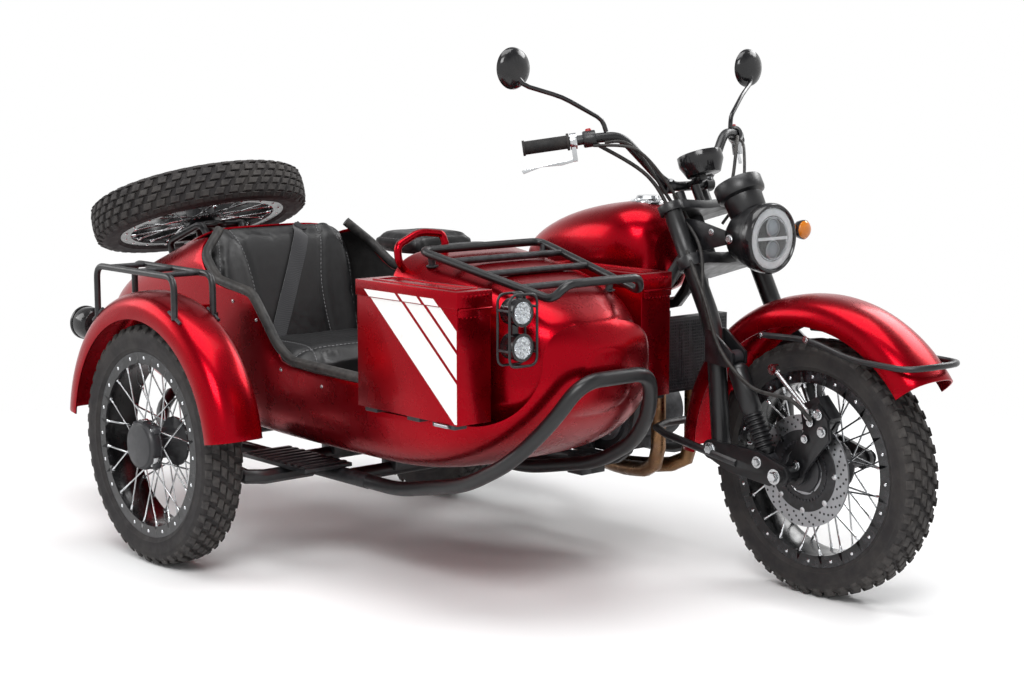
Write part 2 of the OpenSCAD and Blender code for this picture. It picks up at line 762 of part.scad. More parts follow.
// Swingarm: pivot tube, two arms and the rear axle
arm_y = 84;
module swingarm() {
  color("#1c1c1e") {
    translate(pivot_at) rotate([90, 0, 0]) cylinder(h = 2 * pivot_half, r = 22, center = true);
    both_sides() {
      tube([pivot_at + [0, arm_y, 0], [40, arm_y, tyre_r + 2], [-42, arm_y, tyre_r]], 38, sides = 12);
      translate([0, arm_y + 20, tyre_r]) rotate([90, 0, 0]) cylinder(h = 46, r = 26);
      translate([36, 138, tyre_r + 22]) rotate([90, 0, 0]) cylinder(h = 54, r = 12);
      translate([36, 176, tyre_r + 22]) rotate([90, 0, 0]) cylinder(h = 60, r = 7);
    }
    translate([340, -arm_y, 340]) cube([26, 2 * arm_y, 30]);
    rotate([90, 0, 0]) translate([0, tyre_r, 0]) cylinder(h = 2 * arm_y + 60, d = axle_d, center = true);
  }
}
module rear_shocks() {
  color("#19191b") both_sides() shock([36, 0, tyre_r + 22], shock_top, shock_plane, 46);
}

// Foot pegs on brackets from the cradle
module foot_pegs() {
  peg_y = 140 + bike_tube_flat + seat_gap;
  color("#232325") {
    translate([540, peg_y, cradle_z]) rotate([-90, 0, 0]) cylinder(h = 100, r = 14);
    mirror([0, 1, 0]) translate([540, peg_y, cradle_z]) rotate([-90, 0, 0]) cylinder(h = 70, r = 14);
  }
}

// Sidecar body sections along X: x, half width, low z, high z, squareness
tub_rows = [
  [-565, 190, 505, 600, 2.6], [-520, 236, 458, 655, 3], [-400, 268, 408, 718, 3.6],
      [-200, 288, 352, 790, 4],
  [0, 298, 318, 850, 4.4], [300, 302, 302, 856, 4.6], [700, 302, 300, 852, 4.6], [900, 300, 306, 826, 4.4],
  [1060, 288, 336, 792, 4], [1180, 262, 388, 764, 3.6], [1260, 218, 452, 732, 3.2],
      [1305, 160, 516, 690, 2.8],
  [1328, 80, 566, 650, 2.4]
];
// The narrower upper nose that stands between the side boxes, by the same columns
nose_rows = [
  [700, 236, 430, 842, 4.2], [820, 236, 430, 836, 4.2], [1000, 234, 430, 808, 4],
      [1120, 222, 430, 784, 3.8],
  [1200, 204, 440, 758, 3.4], [1262, 170, 462, 726, 3.1], [1306, 122, 500, 692, 2.8],
      [1330, 66, 552, 640, 2.4]
];
tub_points = 24;
// A section table moved in by the wall on every side, and in from its ends
function inset(rows, by) = [
  for (i = [0 : len(rows) - 1])
    let (end = i == 0 ? by : i == len(rows) - 1 ? -by : 0, row = rows[i])
    [row[0] + end, row[1] - by, row[2] + by, row[3] - by, row[4]]
];
// Cockpit edge, seen from the side, from behind the seat down to the step and on to the nose: x, z
cockpit_edge = [
  [-24, 900], [8, 834], [42, 768], [130, 706], [300, 684], [352, 630], [415, 560], [482, 524], [812, 516]
];
cockpit_front_x = cockpit_edge[len(cockpit_edge) - 1][0];
// Ledge under the boxes: where it is level, how it curves up the bow
ledge_z = 458;
ledge_turn_x = 1150;
ledge_turn_r = 150;

// Everything above the ledge, with the wall thickness added below it
module above_ledge(extra) {
  plate(0, 900)
    difference() {
      translate([cockpit_front_x, ledge_z - extra]) square([700, 700]);
      difference() {
        translate([ledge_turn_x, ledge_z - extra - 1]) square([ledge_turn_r + extra + 400,
            ledge_turn_r + extra + 1]);
        translate([ledge_turn_x, ledge_z + ledge_turn_r]) circle(r = ledge_turn_r + extra, $fn = 96);
      }
    }
}

// Opening in the tail that the trunk lid closes, seen from above, with a margin
trunk_x = [-492, -112];
trunk_half = 206;
trunk_floor_z = 560;
module trunk_opening(margin) {
  translate([trunk_x[0] - margin, -trunk_half - margin, trunk_floor_z])
    cube([trunk_x[1] - trunk_x[0] + 2 * margin, 2 * (trunk_half + margin), 400]);
}

module tub_solid(by) {
  difference() {
    loft(by == 0 ? tub_rows : inset(tub_rows, by), tub_points);
    above_ledge(by);
  }
  loft(by == 0 ? nose_rows : inset(nose_rows, by), tub_points);
}

module tub_shell() {
  difference() {
    tub_solid(0);
    tub_solid(tub_wall);
    plate(0, 900) polygon(concat(cockpit_edge, [[cockpit_front_x, 1000], [cockpit_edge[0][0], 1000]]));
    translate([tail_joint_x - 4, -246, 600]) cube([92, 492, 400]);
    trunk_opening(2);
  }
}

// The body is four mouldings that butt together: the tail and the deck that hold the trunk between
// them, the cockpit and the nose
deck_joint_x = -310;
tail_joint_x = -58;
nose_joint_x = cockpit_front_x - 6;
module tub_moulding(from, to) {
  color("#8e0d1a") at_sidecar()
    intersection() {
      tub_shell();
      translate([from, -500, 0]) cube([to - from, 1000, 1100]);
    }
}
module sidecar_tub() { tub_moulding(tail_joint_x, nose_joint_x); }
module sidecar_nose() { tub_moulding(nose_joint_x, nose_joint_x + 700); }
module sidecar_deck() { tub_moulding(deck_joint_x, tail_joint_x); }
module sidecar_tail() {
  tub_moulding(deck_joint_x - 700, deck_joint_x);
  color("#232325") at_sidecar() both_sides() trunk_knuckle(116 + seat_gap, -26);
}

// Lid of the trunk: the piece of the tail's skin inside its opening
module trunk_lid() {
  color("#8e0d1a") at_sidecar()
    intersection() {
      difference() {
        loft(tub_rows, tub_points);
        loft(inset(tub_rows, tub_wall), tub_points);
      }
      trunk_opening(0);
    }
  color("#232325") at_sidecar() both_sides() trunk_knuckle(66, 40);
}

// One leaf of the trunk's hinges: a barrel on the hinge line and a strap along the skin, forward or back
trunk_slope = 27.7;
trunk_barrel_r = 8;
trunk_hinge = [trunk_x[0] - 1, 676.6];
module trunk_knuckle(y, strap) {
  translate([trunk_hinge[0], y, trunk_hinge[1]]) rotate([-90, 0, 0]) cylinder(h = 50, r = trunk_barrel_r);
  translate([trunk_hinge[0], y, trunk_hinge[1]]) rotate([0, -trunk_slope, 0])
    translate([min(0, strap), 0, -trunk_barrel_r - 2]) cube([abs(strap), 50, 6]);
}

// Half width of the tub at x and height z, from its section table
function column(rows, x, c) = lookup(x, [for (row = rows) [row[0], row[c]]]);
function side_y(rows, x, z) =
  let (low = column(rows, x, 2), high = column(rows, x, 3), e = column(rows, x, 4),
       s = min(0.97, abs(2 * z - low - high) / (high - low)))
  column(rows, x, 1) * pow(1 - pow(s, e), 1 / e);
function tub_y(x, z) = side_y(tub_rows, x, z);
// Height of a section table's top at x and distance y from its middle
function top_z(rows, x, y) =
  let (low = column(rows, x, 2), high = column(rows, x, 3), e = column(rows, x, 4))
  (low + high) / 2 + (high - low) / 2 * pow(1 - pow(min(0.99, abs(y) / column(rows, x, 1)), e), 1 / e);

// Padded tube that caps the cockpit's edge
rail_d = 24;
module cockpit_rail() {
  points = [
    for (i = [1 : len(cockpit_edge) - 1])
      let (p = cockpit_edge[i], a = unit(p - cockpit_edge[i - 1]),
           b = i == len(cockpit_edge) - 1 ? a : unit(cockpit_edge[i + 1] - p), n = unit([-a[1] - b[1],
               a[0] + b[0]]),
           reach = (rail_d / 2 + 1) / max(0.5, n * [-a[1], a[0]]), q = p + reach * n)
      [q[0], tub_y(p[0], p[1]) - tub_wall / 2, q[1]]
  ];
  color("#161617") at_sidecar() both_sides() tube(bent(points, 16), rail_d, side = [0, 1, 0]);
}

// Seat: plinth, cushion and leaning back
seat_top_z = 420;
plinth_z = 309.7;
back_lean = 12;
module seat_base() {
  color("#1a1a1b") at_sidecar() {
    translate([300, -110, plinth_z]) cube([110, 220, seat_top_z - plinth_z]);
    translate([-96, -205, seat_top_z - 14]) cube([520, 410, 14]);
  }
}
module seat_cushion() {
  low = seat_top_z + seat_gap;
  color("#151516") at_sidecar()
    loft([[88, 236, low, low + 112, 4], [128, 250, low, low + 124, 4.4], [330, 252, low, low + 126, 4.4],
          [400, 248, low, low + 118, 3.8], [440, 226, low + 12, low + 92, 3]], 24);
}
// Rows up the back: height along it, half width, front face, rear face, squareness
back_rows = [
  [0, 226, -46, 14, 3.4], [60, 248, -50, 16, 4], [300, 258, -44, 14, 4], [390, 238, -36, 10, 3.4],
      [436, 186, -18, 4, 2.8]
];
module at_back() {
  at_sidecar() translate([40, 0, seat_top_z + 3.4]) rotate([0, -90 - back_lean, 0]) children();
}
module seat_back() {
  color("#151516") at_back() loft(back_rows, 24);
}

// Flat belt across the seat back, down to the right hip
belt_w = 48;
belt_thick = 3;
module seat_belt() {
  places = [[392, 72], [300, 30], [60, -84], [34, -96]];
  path = [for (p = places) [p[0], p[1], column(back_rows, p[0], 2) - belt_thick / 2 - 1.5]];
  color("#1a1a1c") at_back() tube(path, belt_w * sqrt(2), side = [0.45, -0.9, 0], sides = 4,
      flat = belt_thick / belt_w);
}

// Side boxes: sheet bodies between the nose and the open air, each with a hinged cap lid
box_in_y = 238;
box_x = 822;
box_z = 474;
lid_h = 38;
lid_wall = 2.2;
lid_gap = 0.8;
hinge_r = 3;
box_front_x = box_x + box_l;
hinge_at = [box_front_x + hinge_r + seat_gap, box_z + box_h - lid_h - hinge_r];

module box_body() {
  edge = lid_wall + lid_gap;
  x = box_x + edge;
  y = box_in_y + edge;
  l = box_l - 2 * edge;
  w = box_w - 2 * edge;
  h = box_h - lid_wall - lid_gap;
  difference() {
    translate([x, y, box_z]) cube([l, w, h]);
    translate([x + box_wall, y + box_wall, box_z + box_wall]) cube([l - 2 * box_wall, w - 2 * box_wall, h]);
  }
  for (foot_x = [x + 40, x + l - 110])
    translate([foot_x, box_in_y + 34, ledge_z + seat_gap]) cylinder(h = box_z - ledge_z, r = 11);
  translate([hinge_at[0], y + 2, hinge_at[1]]) rotate([-90, 0, 0]) cylinder(h = w - 4, r = hinge_r);
  translate([x + l - 1, y + 2, hinge_at[1] - 16]) cube([hinge_at[0] - x - l + 1, w - 4, 15]);
}
module box_lid() {
  bead = 10;
  difference() {
    translate([box_x, box_in_y, box_z + box_h - lid_h]) cube([box_l, box_w, lid_h]);
    translate([box_x + lid_wall, box_in_y + lid_wall, box_z + box_h - lid_h - 1])
      cube([box_l - 2 * lid_wall, box_w - 2 * lid_wall, lid_h - lid_wall + 1]);
  }
  difference() {
    translate([box_x + 44, box_in_y + 22, box_z + box_h - 0.5]) cube([box_l - 70, box_w - 40, 4]);
    translate([box_x + 44 + bead, box_in_y + 22 + bead, box_z + box_h])
      cube([box_l - 70 - 2 * bead, box_w - 40 - 2 * bead, 8]);
  }
}
module right_box() { color("#8e0d1a") at_sidecar() mirror([0, 1, 0]) box_body(); }
module left_box() { color("#8e0d1a") at_sidecar() box_body(); }
module right_lid() { color("#8e0d1a") at_sidecar() mirror([0, 1, 0]) box_lid(); }
module left_lid() { color("#8e0d1a") at_sidecar() box_lid(); }

// Red hand hoop on the cowl, at the passenger's right
module grab_handle() {
  x = 838;
  foot = top_z(nose_rows, x - 9.5, 206);
  left_foot = top_z(nose_rows, x - 9.5, 70) + seat_gap;
  color("#9c0f1d") at_sidecar()
    tube(bent([[x, -207, foot + 1], [x, -224, foot + 18], [x - 4, -226, 852], [x - 14, -150, 882],
        [x - 8, -84, 874],
               [x, -80, left_foot + 20], [x, -80, left_foot]], 22), 19, side = [1, 0, 0.1]);
}

// Luggage rack on the nose: a loop with a raised front bar, cross bars and posts
rack_rear = [882, 192, 842];
rack_front = [1298, 140, 756];
rack_raise = 36;
module nose_rack() {
  function rail(x) = rack_rear + (x - rack_rear[0]) / (rack_front[0] - rack_rear[0])
    * (rack_front - rack_rear);
  color("#161617") at_sidecar() {
    tube(bent([[rack_rear[0], 0, rack_rear[2]], rack_rear, rack_front, rack_front + [24, -26, rack_raise],
               [rack_front[0] + 24, 0, rack_front[2] + rack_raise]], 26), rack_d, side = [0, 0.1, 1]);
    mirror([0, 1, 0])
      tube(bent([[rack_rear[0], 0, rack_rear[2]], rack_rear, rack_front, rack_front + [24, -26, rack_raise],
                 [rack_front[0] + 24, 0, rack_front[2] + rack_raise]], 26), rack_d, side = [0, 0.1, 1]);
    for (x = [980, 1090, 1200])
      rod(rail(x), [rail(x)[0], -rail(x)[1], rail(x)[2]], rack_d - 3, $fn = 8);
    both_sides()
      for (x = [910, 1190])
        let (p = rail(x), foot = top_z(nose_rows, x - 7, p[1] - 20) + 0.2)
        translate([x, p[1] - 12, foot]) cylinder(h = p[2] - foot, d = rack_d - 2, $fn = 8);
  }
}

// Sidecar frame and crash bar share the rails' line
rail_y = 212;
rail_z = 246;
rail_front_x = 690;
module crash_bar() {
  half = [[1366, 108, 572], [1318, 160, 474], [1226, 200, 376], [1080, 214, 300], [rail_front_x + 130,
      rail_y, rail_z],
          [rail_front_x + seat_gap, rail_y, rail_z]];
  path = concat([for (i = [5 : -1 : 0]) [half[i][0], -half[i][1], half[i][2]]], half);
  color("#161617") at_sidecar() tube(bent(path, 44), crash_d, side = [0.3, 0, 1], sides = 10);
}

upright = [196, 352];
upright_d = frame_d - 8;
upright_flat = upright_d / 2 * cos(22.5);
module sidecar_frame() {
  frame_rear_x = -330;
  shoe = 34;
  link_end = sidecar_y - side_lug_y - seat_gap;
  pad_x = [330, 600];
  color("#161617") at_sidecar() {
    tube(bent([[rail_front_x, -rail_y, rail_z], [frame_rear_x, -rail_y, rail_z],
               [frame_rear_x - 60, -rail_y + 70, 330], [frame_rear_x - 60, rail_y - 70, 330],
                   [frame_rear_x, rail_y, rail_z], [rail_front_x, rail_y, rail_z]], 50),
         frame_d, side = [0, 0.1, 1], sides = 10);
    for (x = concat([-120], pad_x))
      rod([x, -rail_y, rail_z], [x, rail_y, rail_z], frame_d - 4);
    for (x = pad_x)
      translate([x - 30, -80, rail_z]) cube([60, 160, column(tub_rows, x, 2) + 0.8 - rail_z]);
    for (lug = side_lugs)
      translate([lug[0] - lug_w / 2, link_end - shoe, lug[1] - lug_w / 2]) cube([lug_w, shoe, lug_w]);
    for (strut = [[440, side_lugs[0]], [580, side_lugs[1]]])
      rod([strut[0], rail_y, rail_z], [strut[1][0], link_end - 18, strut[1][1]], frame_d - 8);
    tube(bent([[280, rail_y, rail_z], [320, 330, rail_z + 8], [side_lugs[2][0], link_end - 20,
        side_lugs[2][1]]], 40), frame_d - 8,
         side = [1, 0, 0]);
    tube(bent([[upright[0], -rail_y, rail_z], [upright[0], -upright[1], rail_z + 40], [upright[0],
        -upright[1], 640]], 50),
         upright_d, side = [1, 0, 0]);
  }
}

// Ribbed step over the right rail
module step_board() {
  low = rail_z + frame_d / 2 + seat_gap;
  color("#19191a") at_sidecar() {
    translate([300, -336, low]) cube([290, 146, 10]);
    for (k = [0 : 8])
      translate([314 + k * 31, -330, low + 9]) cube([14, 134, 5]);
  }
}

// Swinging arm and axle that carry the sidecar wheel
module sidecar_axle() {
  wheel_y = -(track - sidecar_y);
  inner_y = wheel_y + hub_half + 30;
  color("#1c1c1e") at_sidecar() {
    tube(bent([[470, -rail_y - frame_d / 2 - seat_gap, rail_z], [470, inner_y, rail_z], [wheel_lead,
        inner_y, tyre_r]], 60), 38,
         side = [0.1, 0, 1]);
    translate([wheel_lead, inner_y + 16, tyre_r]) rotate([90, 0, 0]) cylinder(h = 44, r = 30);
    translate([wheel_lead, inner_y + 16, tyre_r]) rotate([90, 0, 0])
      cylinder(h = 46 + 2 * hub_half, d = axle_d);
    rod([260, inner_y + 20, tyre_r + 14], [upright[0] + 8, -upright[1] - 40, 556], 44);
    translate([upright[0] + 4, -upright[1] - upright_flat - seat_gap, 572]) rotate([90, 0, 0])
      cylinder(h = 44, r = 20);
  }
}

sidecar_crown = 397;
sidecar_skirt = 328;
module sidecar_fender() {
  color("#8e0d1a") {
    about_axle(sidecar_hub) fender(sidecar_crown, sidecar_skirt, fender_w / 2, fender_wall, 3, 9, 164);
    at_sidecar()
      translate([upright[0] - 14, -(track - sidecar_y) + fender_w / 2 - 4, 618])
        cube([28, track - sidecar_y - fender_w / 2 + 4 - upright[1] - upright_flat - seat_gap, 46]);
  }
}

// Height of the sidecar fender's skin at x and at a distance y from the wheel's plane
function fender_top(x, y) =
  let (half = fender_w / 2,
       r = sidecar_skirt + (sidecar_crown - sidecar_skirt) * pow(1 - pow(abs(y) / half, 3), 1 / 3))
  tyre_r + sqrt(r * r - (x - wheel_lead) * (x - wheel_lead));
module fender_rack() {
  z = 764;
  d = 17;
  color("#161617")
    translate([0, -track, 0]) {
      both_sides()
        tube(bent([[386, 56, fender_top(380, 51) + seat_gap], [386, 56, z], [0, 56, z], [0, 56,
            fender_top(6, 51) + seat_gap]], 30), d);
      for (x = [60, 200, 330])
        rod([x, -56, z], [x, 56, z], d - 3, $fn = 8);
    }
}

module sidecar_tail_lamp() {
  at = [-452, -893, 545];
  color("#232325") {
    translate(at) rotate([0, 90, 0])
      rotate_extrude()
        polygon([[0, -34], [40, -34], [47, -26], [47, 20], [40, 34], [0, 36]]);
    at_sidecar()
      translate([at[0] - 16, -(-at[1] - sidecar_y) + 30, at[2] - 12])
        cube([32, -at[1] - sidecar_y - 30 - tub_y(at[0] + 12, at[2]) - 0.3, 24]);
  }
}

// Spare wheel: laid back on a stub that stands on the trunk lid
spare_hub = [-382, -565, 868];
spare_tilt = 19.8;
module at_spare() { translate(spare_hub) rotate([0, -spare_tilt, 0]) children(); }
module spare_tyre() { color("#1b1b1c") at_spare() tyre(); }
module spare_wheel() { color("#2a2a2c") at_spare() wheel(); }
module spare_carrier() {
  reach = 135.4;
  color("#161617") at_spare() {
    translate([0, 0, -hub_half - 8 - seat_gap]) cylinder(h = 8, r = 60);
    translate([0, 0, -hub_half - 8 - seat_gap]) cylinder(h = hub_half * 2 + 20, d = axle_d - 1);
    translate([0, 0, -reach]) cylinder(h = reach - hub_half - 2, r = 24);
    both_sides()
      tube(bent([[-90, 60, -reach + 2], [-90, 70, -hub_half - 20], [110, 70, -hub_half - 20], [110, 60,
          -reach + 4]], 30), 22);
    for (x = [-60, 80])
      rod([x, -70, -hub_half - 20], [x, 70, -hub_half - 20], 18);
    translate([-100, -14, -hub_half - 26]) cube([200, 28, 12]);
  }
}

// Spot lamps: two round housings one above the other, on a bracket from the nose
spot_at = [box_front_x + 51, -box_in_y + 5];
spot_z = [656, 735];
spot_d = 62;
module spot_lamps() {
  depth = 48;
  color("#202123") at_sidecar() {
    for (z = spot_z)
      translate([spot_at[0], spot_at[1], z]) rotate([0, 90, 0])
        rotate_extrude()
          polygon([[0, 0], [spot_d * 0.36, 0], [spot_d * 0.47, 8], [spot_d / 2, depth - 10],
              [spot_d / 2, depth],
                   [spot_d / 2 - 5, depth], [spot_d / 2 - 6, depth - 4], [0, depth - 4]]);
    translate([spot_at[0] + 8, spot_at[1] - 8, spot_z[0] + 20]) cube([16, 16, spot_z[1] - spot_z[0] - 40]);
    translate([spot_at[0] + 2, spot_at[1], 640])
      cube([14, -spot_at[1] - side_y(nose_rows, spot_at[0] + 2, 651) - seat_gap, 22]);
    translate([spot_at[0] + 2, spot_at[1] - 8, 640]) cube([14, 16, 40]);
  }
}

// Middle of the footprint, from the pieces that reach furthest
front_x = guard_tip_x + guard_d / 2 * cos(22.5);
rear_x = spare_hub[0] - max([for (p = tyre_outside) p[0] * cos(spare_tilt) + p[1] * sin(spare_tilt)]);
left_y = mirror_at[1] + mirror_d / 2;
right_y = -track - fender_w / 2;
module placed() { translate([-(front_x + rear_x) / 2, -(left_y + right_y) / 2, 0]) children(); }

placed() bike_frame();
placed() engine();
placed() radiator();
placed() exhaust();
placed() fuel_tank();
placed() filler_cap();
placed() rider_seat();
placed() pillion_seat();
placed() rear_fender();
placed() swingarm();
placed() rear_shocks();
placed() bike_tail_lamp();
placed() foot_pegs();
placed() rear_tyre();
placed() rear_wheel();
placed() fork();
placed() leading_link();
placed() front_shocks();
placed() front_fender();
placed() fender_guard();
placed() headlamp();
placed() instrument();
placed() handlebar();
placed() grips();
placed() levers();
placed() mirrors();
placed() indicator();
placed() caliper();
placed() front_tyre();
placed() front_wheel();
placed() sidecar_frame();
placed() sidecar_tub();
placed() sidecar_tail();
placed() sidecar_deck();
placed() sidecar_nose();
placed() cockpit_rail();
placed() seat_base();
placed() seat_cushion();
placed() seat_back();
placed() seat_belt();
placed() right_box();
placed() left_box();
placed() right_lid();
placed() left_lid();
placed() grab_handle();
placed() nose_rack();
placed() crash_bar();
placed() spot_lamps();
placed() step_board();
placed() sidecar_axle();
placed() sidecar_fender();
placed() fender_rack();
placed() sidecar_tail_lamp();
placed() sidecar_tyre();
placed() sidecar_wheel();
placed() trunk_lid();
placed() spare_carrier();
placed() spare_tyre();
placed() spare_wheel();
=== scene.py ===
"""Looks of the sidecar motorcycle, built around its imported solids."""
import json
import math

import bmesh
import bpy
from mathutils import Matrix, Vector
from mathutils.bvhtree import BVHTree
from mathutils.kdtree import KDTree


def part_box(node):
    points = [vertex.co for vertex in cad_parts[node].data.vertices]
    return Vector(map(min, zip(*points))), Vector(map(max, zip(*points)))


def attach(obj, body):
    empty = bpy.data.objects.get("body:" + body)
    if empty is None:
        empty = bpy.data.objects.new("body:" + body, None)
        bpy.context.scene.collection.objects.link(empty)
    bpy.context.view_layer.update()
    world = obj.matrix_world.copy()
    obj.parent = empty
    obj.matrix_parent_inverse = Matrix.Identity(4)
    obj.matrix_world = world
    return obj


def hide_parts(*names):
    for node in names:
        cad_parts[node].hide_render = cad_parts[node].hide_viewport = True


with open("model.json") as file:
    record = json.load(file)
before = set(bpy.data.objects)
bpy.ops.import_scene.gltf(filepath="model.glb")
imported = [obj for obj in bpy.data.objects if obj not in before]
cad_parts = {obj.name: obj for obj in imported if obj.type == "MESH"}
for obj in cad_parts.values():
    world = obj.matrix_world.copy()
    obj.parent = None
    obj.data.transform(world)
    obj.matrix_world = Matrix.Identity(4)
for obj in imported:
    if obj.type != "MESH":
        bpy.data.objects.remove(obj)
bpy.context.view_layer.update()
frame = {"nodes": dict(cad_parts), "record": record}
NODES = frame["nodes"]
BODY_OF = {node: body for body, nodes in frame["record"]["behaviour"]["bodies"].items() for node in nodes}
SLOT_OF = {row["node"]: row["material_slot"] for row in frame["record"]["subparts"]}
MM = 0.001
REPLACED = set()


def middle(node):
    low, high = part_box(node)
    return (low + high) / 2


# Sizes of the machine, in millimetres, and the drawing frame's zero: under the rear wheel
TYRE_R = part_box("rear_tyre")[1].z / MM / 2
ZERO = middle("rear_tyre") - Vector((0, 0, TYRE_R * MM))
SIDECAR_Y = -(middle("sidecar_tub").y - ZERO.y) / MM


def at(x, y, z):
    """A point of the drawing frame, in millimetres, as a place in the scene."""
    return ZERO + Vector((x, y, z)) * MM


def by_sidecar(x, y, z):
    """The same, with y from the sidecar's own middle."""
    return at(x, y - SIDECAR_Y, z)


# Mesh helpers

def new_object(name, mesh):
    obj = bpy.data.objects.new(name, mesh)
    bpy.context.scene.collection.objects.link(obj)
    return obj


def mesh_object(name, points, faces):
    mesh = bpy.data.meshes.new(name)
    mesh.from_pydata([tuple(p) for p in points], [], faces)
    mesh.update()
    return new_object(name, mesh)


def bm_object(name, bm):
    mesh = bpy.data.meshes.new(name)
    bm.to_mesh(mesh)
    bm.free()
    return new_object(name, mesh)


def apply_modifiers(obj):
    bpy.context.view_layer.update()
    mesh = bpy.data.meshes.new_from_object(obj.evaluated_get(bpy.context.evaluated_depsgraph_get()))
    obj.modifiers.clear()
    obj.data = mesh
    return obj


def smooth(obj, angle=35):
    """Smooth shading, with edges sharper than the angle kept crisp."""
    mesh = obj.data
    mesh.polygons.foreach_set("use_smooth", [True] * len(mesh.polygons))
    mesh.set_sharp_from_angle(angle=math.radians(angle))
    return obj


def join(name, objects):
    """One object from several, keeping their materials."""
    slots = []
    bm = bmesh.new()
    for obj in objects:
        base = len(bm.faces)
        places = []
        for material in obj.data.materials:
            if material not in slots:
                slots.append(material)
            places.append(slots.index(material))
        obj.data.transform(obj.matrix_world)
        bm.from_mesh(obj.data)
        bm.faces.ensure_lookup_table()
        for face in bm.faces[base:]:
            face.material_index = places[face.material_index] if places else 0
        old = obj.data
        bpy.data.objects.remove(obj)
        bpy.data.meshes.remove(old)
    whole = bm_object(name, bm)
    for material in slots:
        whole.data.materials.append(material)
    return whole


def bevel(obj, width, segments=2, angle=40):
    modifier = obj.modifiers.new("bevel", "BEVEL")
    modifier.width = width * MM
    modifier.segments = segments
    modifier.limit_method = "ANGLE"
    modifier.angle_limit = math.radians(angle)
    modifier.miter_outer = "MITER_ARC"
    return obj


def finish(obj, body, slot, material=None, replaces=()):
    """Puts a piece on its body, with its finish and the solids that it stands for."""
    if material:
        obj.data.materials.clear()
        obj.data.materials.append(material)
    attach(obj, body)
    if replaces:
        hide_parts(*replaces)
        REPLACED.update(replaces)
    return obj


def copy_of(node, weld=0.02):
    """The solid's mesh as a new piece, with its corners welded and its degenerate edges and faces dissolved."""
    bm = bmesh.new()
    bm.from_mesh(NODES[node].data)
    bmesh.ops.remove_doubles(bm, verts=bm.verts, dist=weld * MM)
    bmesh.ops.dissolve_degenerate(bm, edges=bm.edges, dist=weld * MM / 4)
    return bm


def dress(node, material, round_edges=0.0, angle=35, paint_faces=None):
    """The solid's own shape with softened edges and its finish; paint_faces picks a material for a face."""
    bm = copy_of(node)
    if round_edges:
        bmesh.ops.dissolve_limit(bm, angle_limit=math.radians(0.6), verts=bm.verts, edges=bm.edges)
    obj = bm_object(node + "_finish", bm)
    if round_edges:
        apply_modifiers(bevel(obj, round_edges))
    materials = material if isinstance(material, list) else [material]
    for m in materials:
        obj.data.materials.append(m)
    if paint_faces:
        for face in obj.data.polygons:
            face.material_index = paint_faces(face)
    smooth(obj, angle)
    return finish(obj, BODY_OF[node], SLOT_OF[node], replaces=[node])


def ring_tube(points, radius, sides=14, closed=False, cap=True):
    """Rings of a round tube along points in the scene, with no twist."""
    count = len(points)
    verts, faces = [], []
    last_n = None
    for i, p in enumerate(points):
        before = points[i - 1] if i or closed else p
        after = points[(i + 1) % count] if i < count - 1 or closed else p
        t = (after - before).normalized()
        if last_n is None:
            helper = Vector((0, 0, 1)) if abs(t.z) < 0.9 else Vector((1, 0, 0))
            n = t.cross(helper).normalized()
        else:
            n = (last_n - t * last_n.dot(t)).normalized()
        last_n = n
        b = t.cross(n)
        r = radius[i] if isinstance(radius, (list, tuple)) else radius
        for k in range(sides):
            a = 2 * math.pi * k / sides
            verts.append(p + (n * math.cos(a) + b * math.sin(a)) * r * MM)
    spans = count if closed else count - 1
    for i in range(spans):
        j = (i + 1) % count
        for k in range(sides):
            m = (k + 1) % sides
            faces.append((i * sides + k, i * sides + m, j * sides + m, j * sides + k))
    if cap and not closed:
        faces.append(tuple(range(sides - 1, -1, -1)))
        faces.append(tuple((count - 1) * sides + k for k in range(sides)))
    return verts, faces


def curve_points(points, steps=8, closed=False):
    """A smooth line through points, as more points."""
    count = len(points)
    out = []
    for i in range(count if closed else count - 1):
        if closed:
            p0, p1, p2, p3 = (points[(i + k) % count] for k in (-1, 0, 1, 2))
        else:
            p0, p1, p2, p3 = points[max(i - 1, 0)], points[i], points[i + 1], points[min(i + 2, count - 1)]
        for s in range(steps):
            t = s / steps
            out.append(0.5 * (2 * p1 + (p2 - p0) * t + (2 * p0 - 5 * p1 + 4 * p2 - p3) * t * t
                              + (3 * p1 - p0 - 3 * p2 + p3) * t * t * t))
    if not closed:
        out.append(points[-1].copy())
    return out


def tube(name, points, radius, sides=14, closed=False):
    verts, faces = ring_tube(points, radius, sides, closed)
    return smooth(mesh_object(name, verts, faces), 50)


def lathe(name, profile, place, steps=64, close=False):
    """Turns a profile of (radius, height) about Z, then moves it to its place, in millimetres."""
    count = len(profile)
    verts, faces = [], []
    for k in range(steps):
        a = 2 * math.pi * k / steps
        for r, z in profile:
            verts.append(place @ (Vector((r * math.cos(a), r * math.sin(a), z)) * MM))
    spans = count if close else count - 1
    for k in range(steps):
        n = (k + 1) % steps
        for i in range(spans):
            j = (i + 1) % count
            faces.append((k * count + i, n * count + i, n * count + j, k * count + j))
    obj = mesh_object(name, verts, faces)
    bm = bmesh.new()
    bm.from_mesh(obj.data)
    bmesh.ops.remove_doubles(bm, verts=bm.verts, dist=1e-6)
    bmesh.ops.recalc_face_normals(bm, faces=bm.faces)
    bm.to_mesh(obj.data)
    bm.free()
    return smooth(obj, 35)


def turned(place, axis):
    """A matrix at a place in the scene whose Z points along an axis."""
    return Matrix.Translation(place) @ Vector(axis).to_track_quat("Z", "Y").to_matrix().to_4x4()


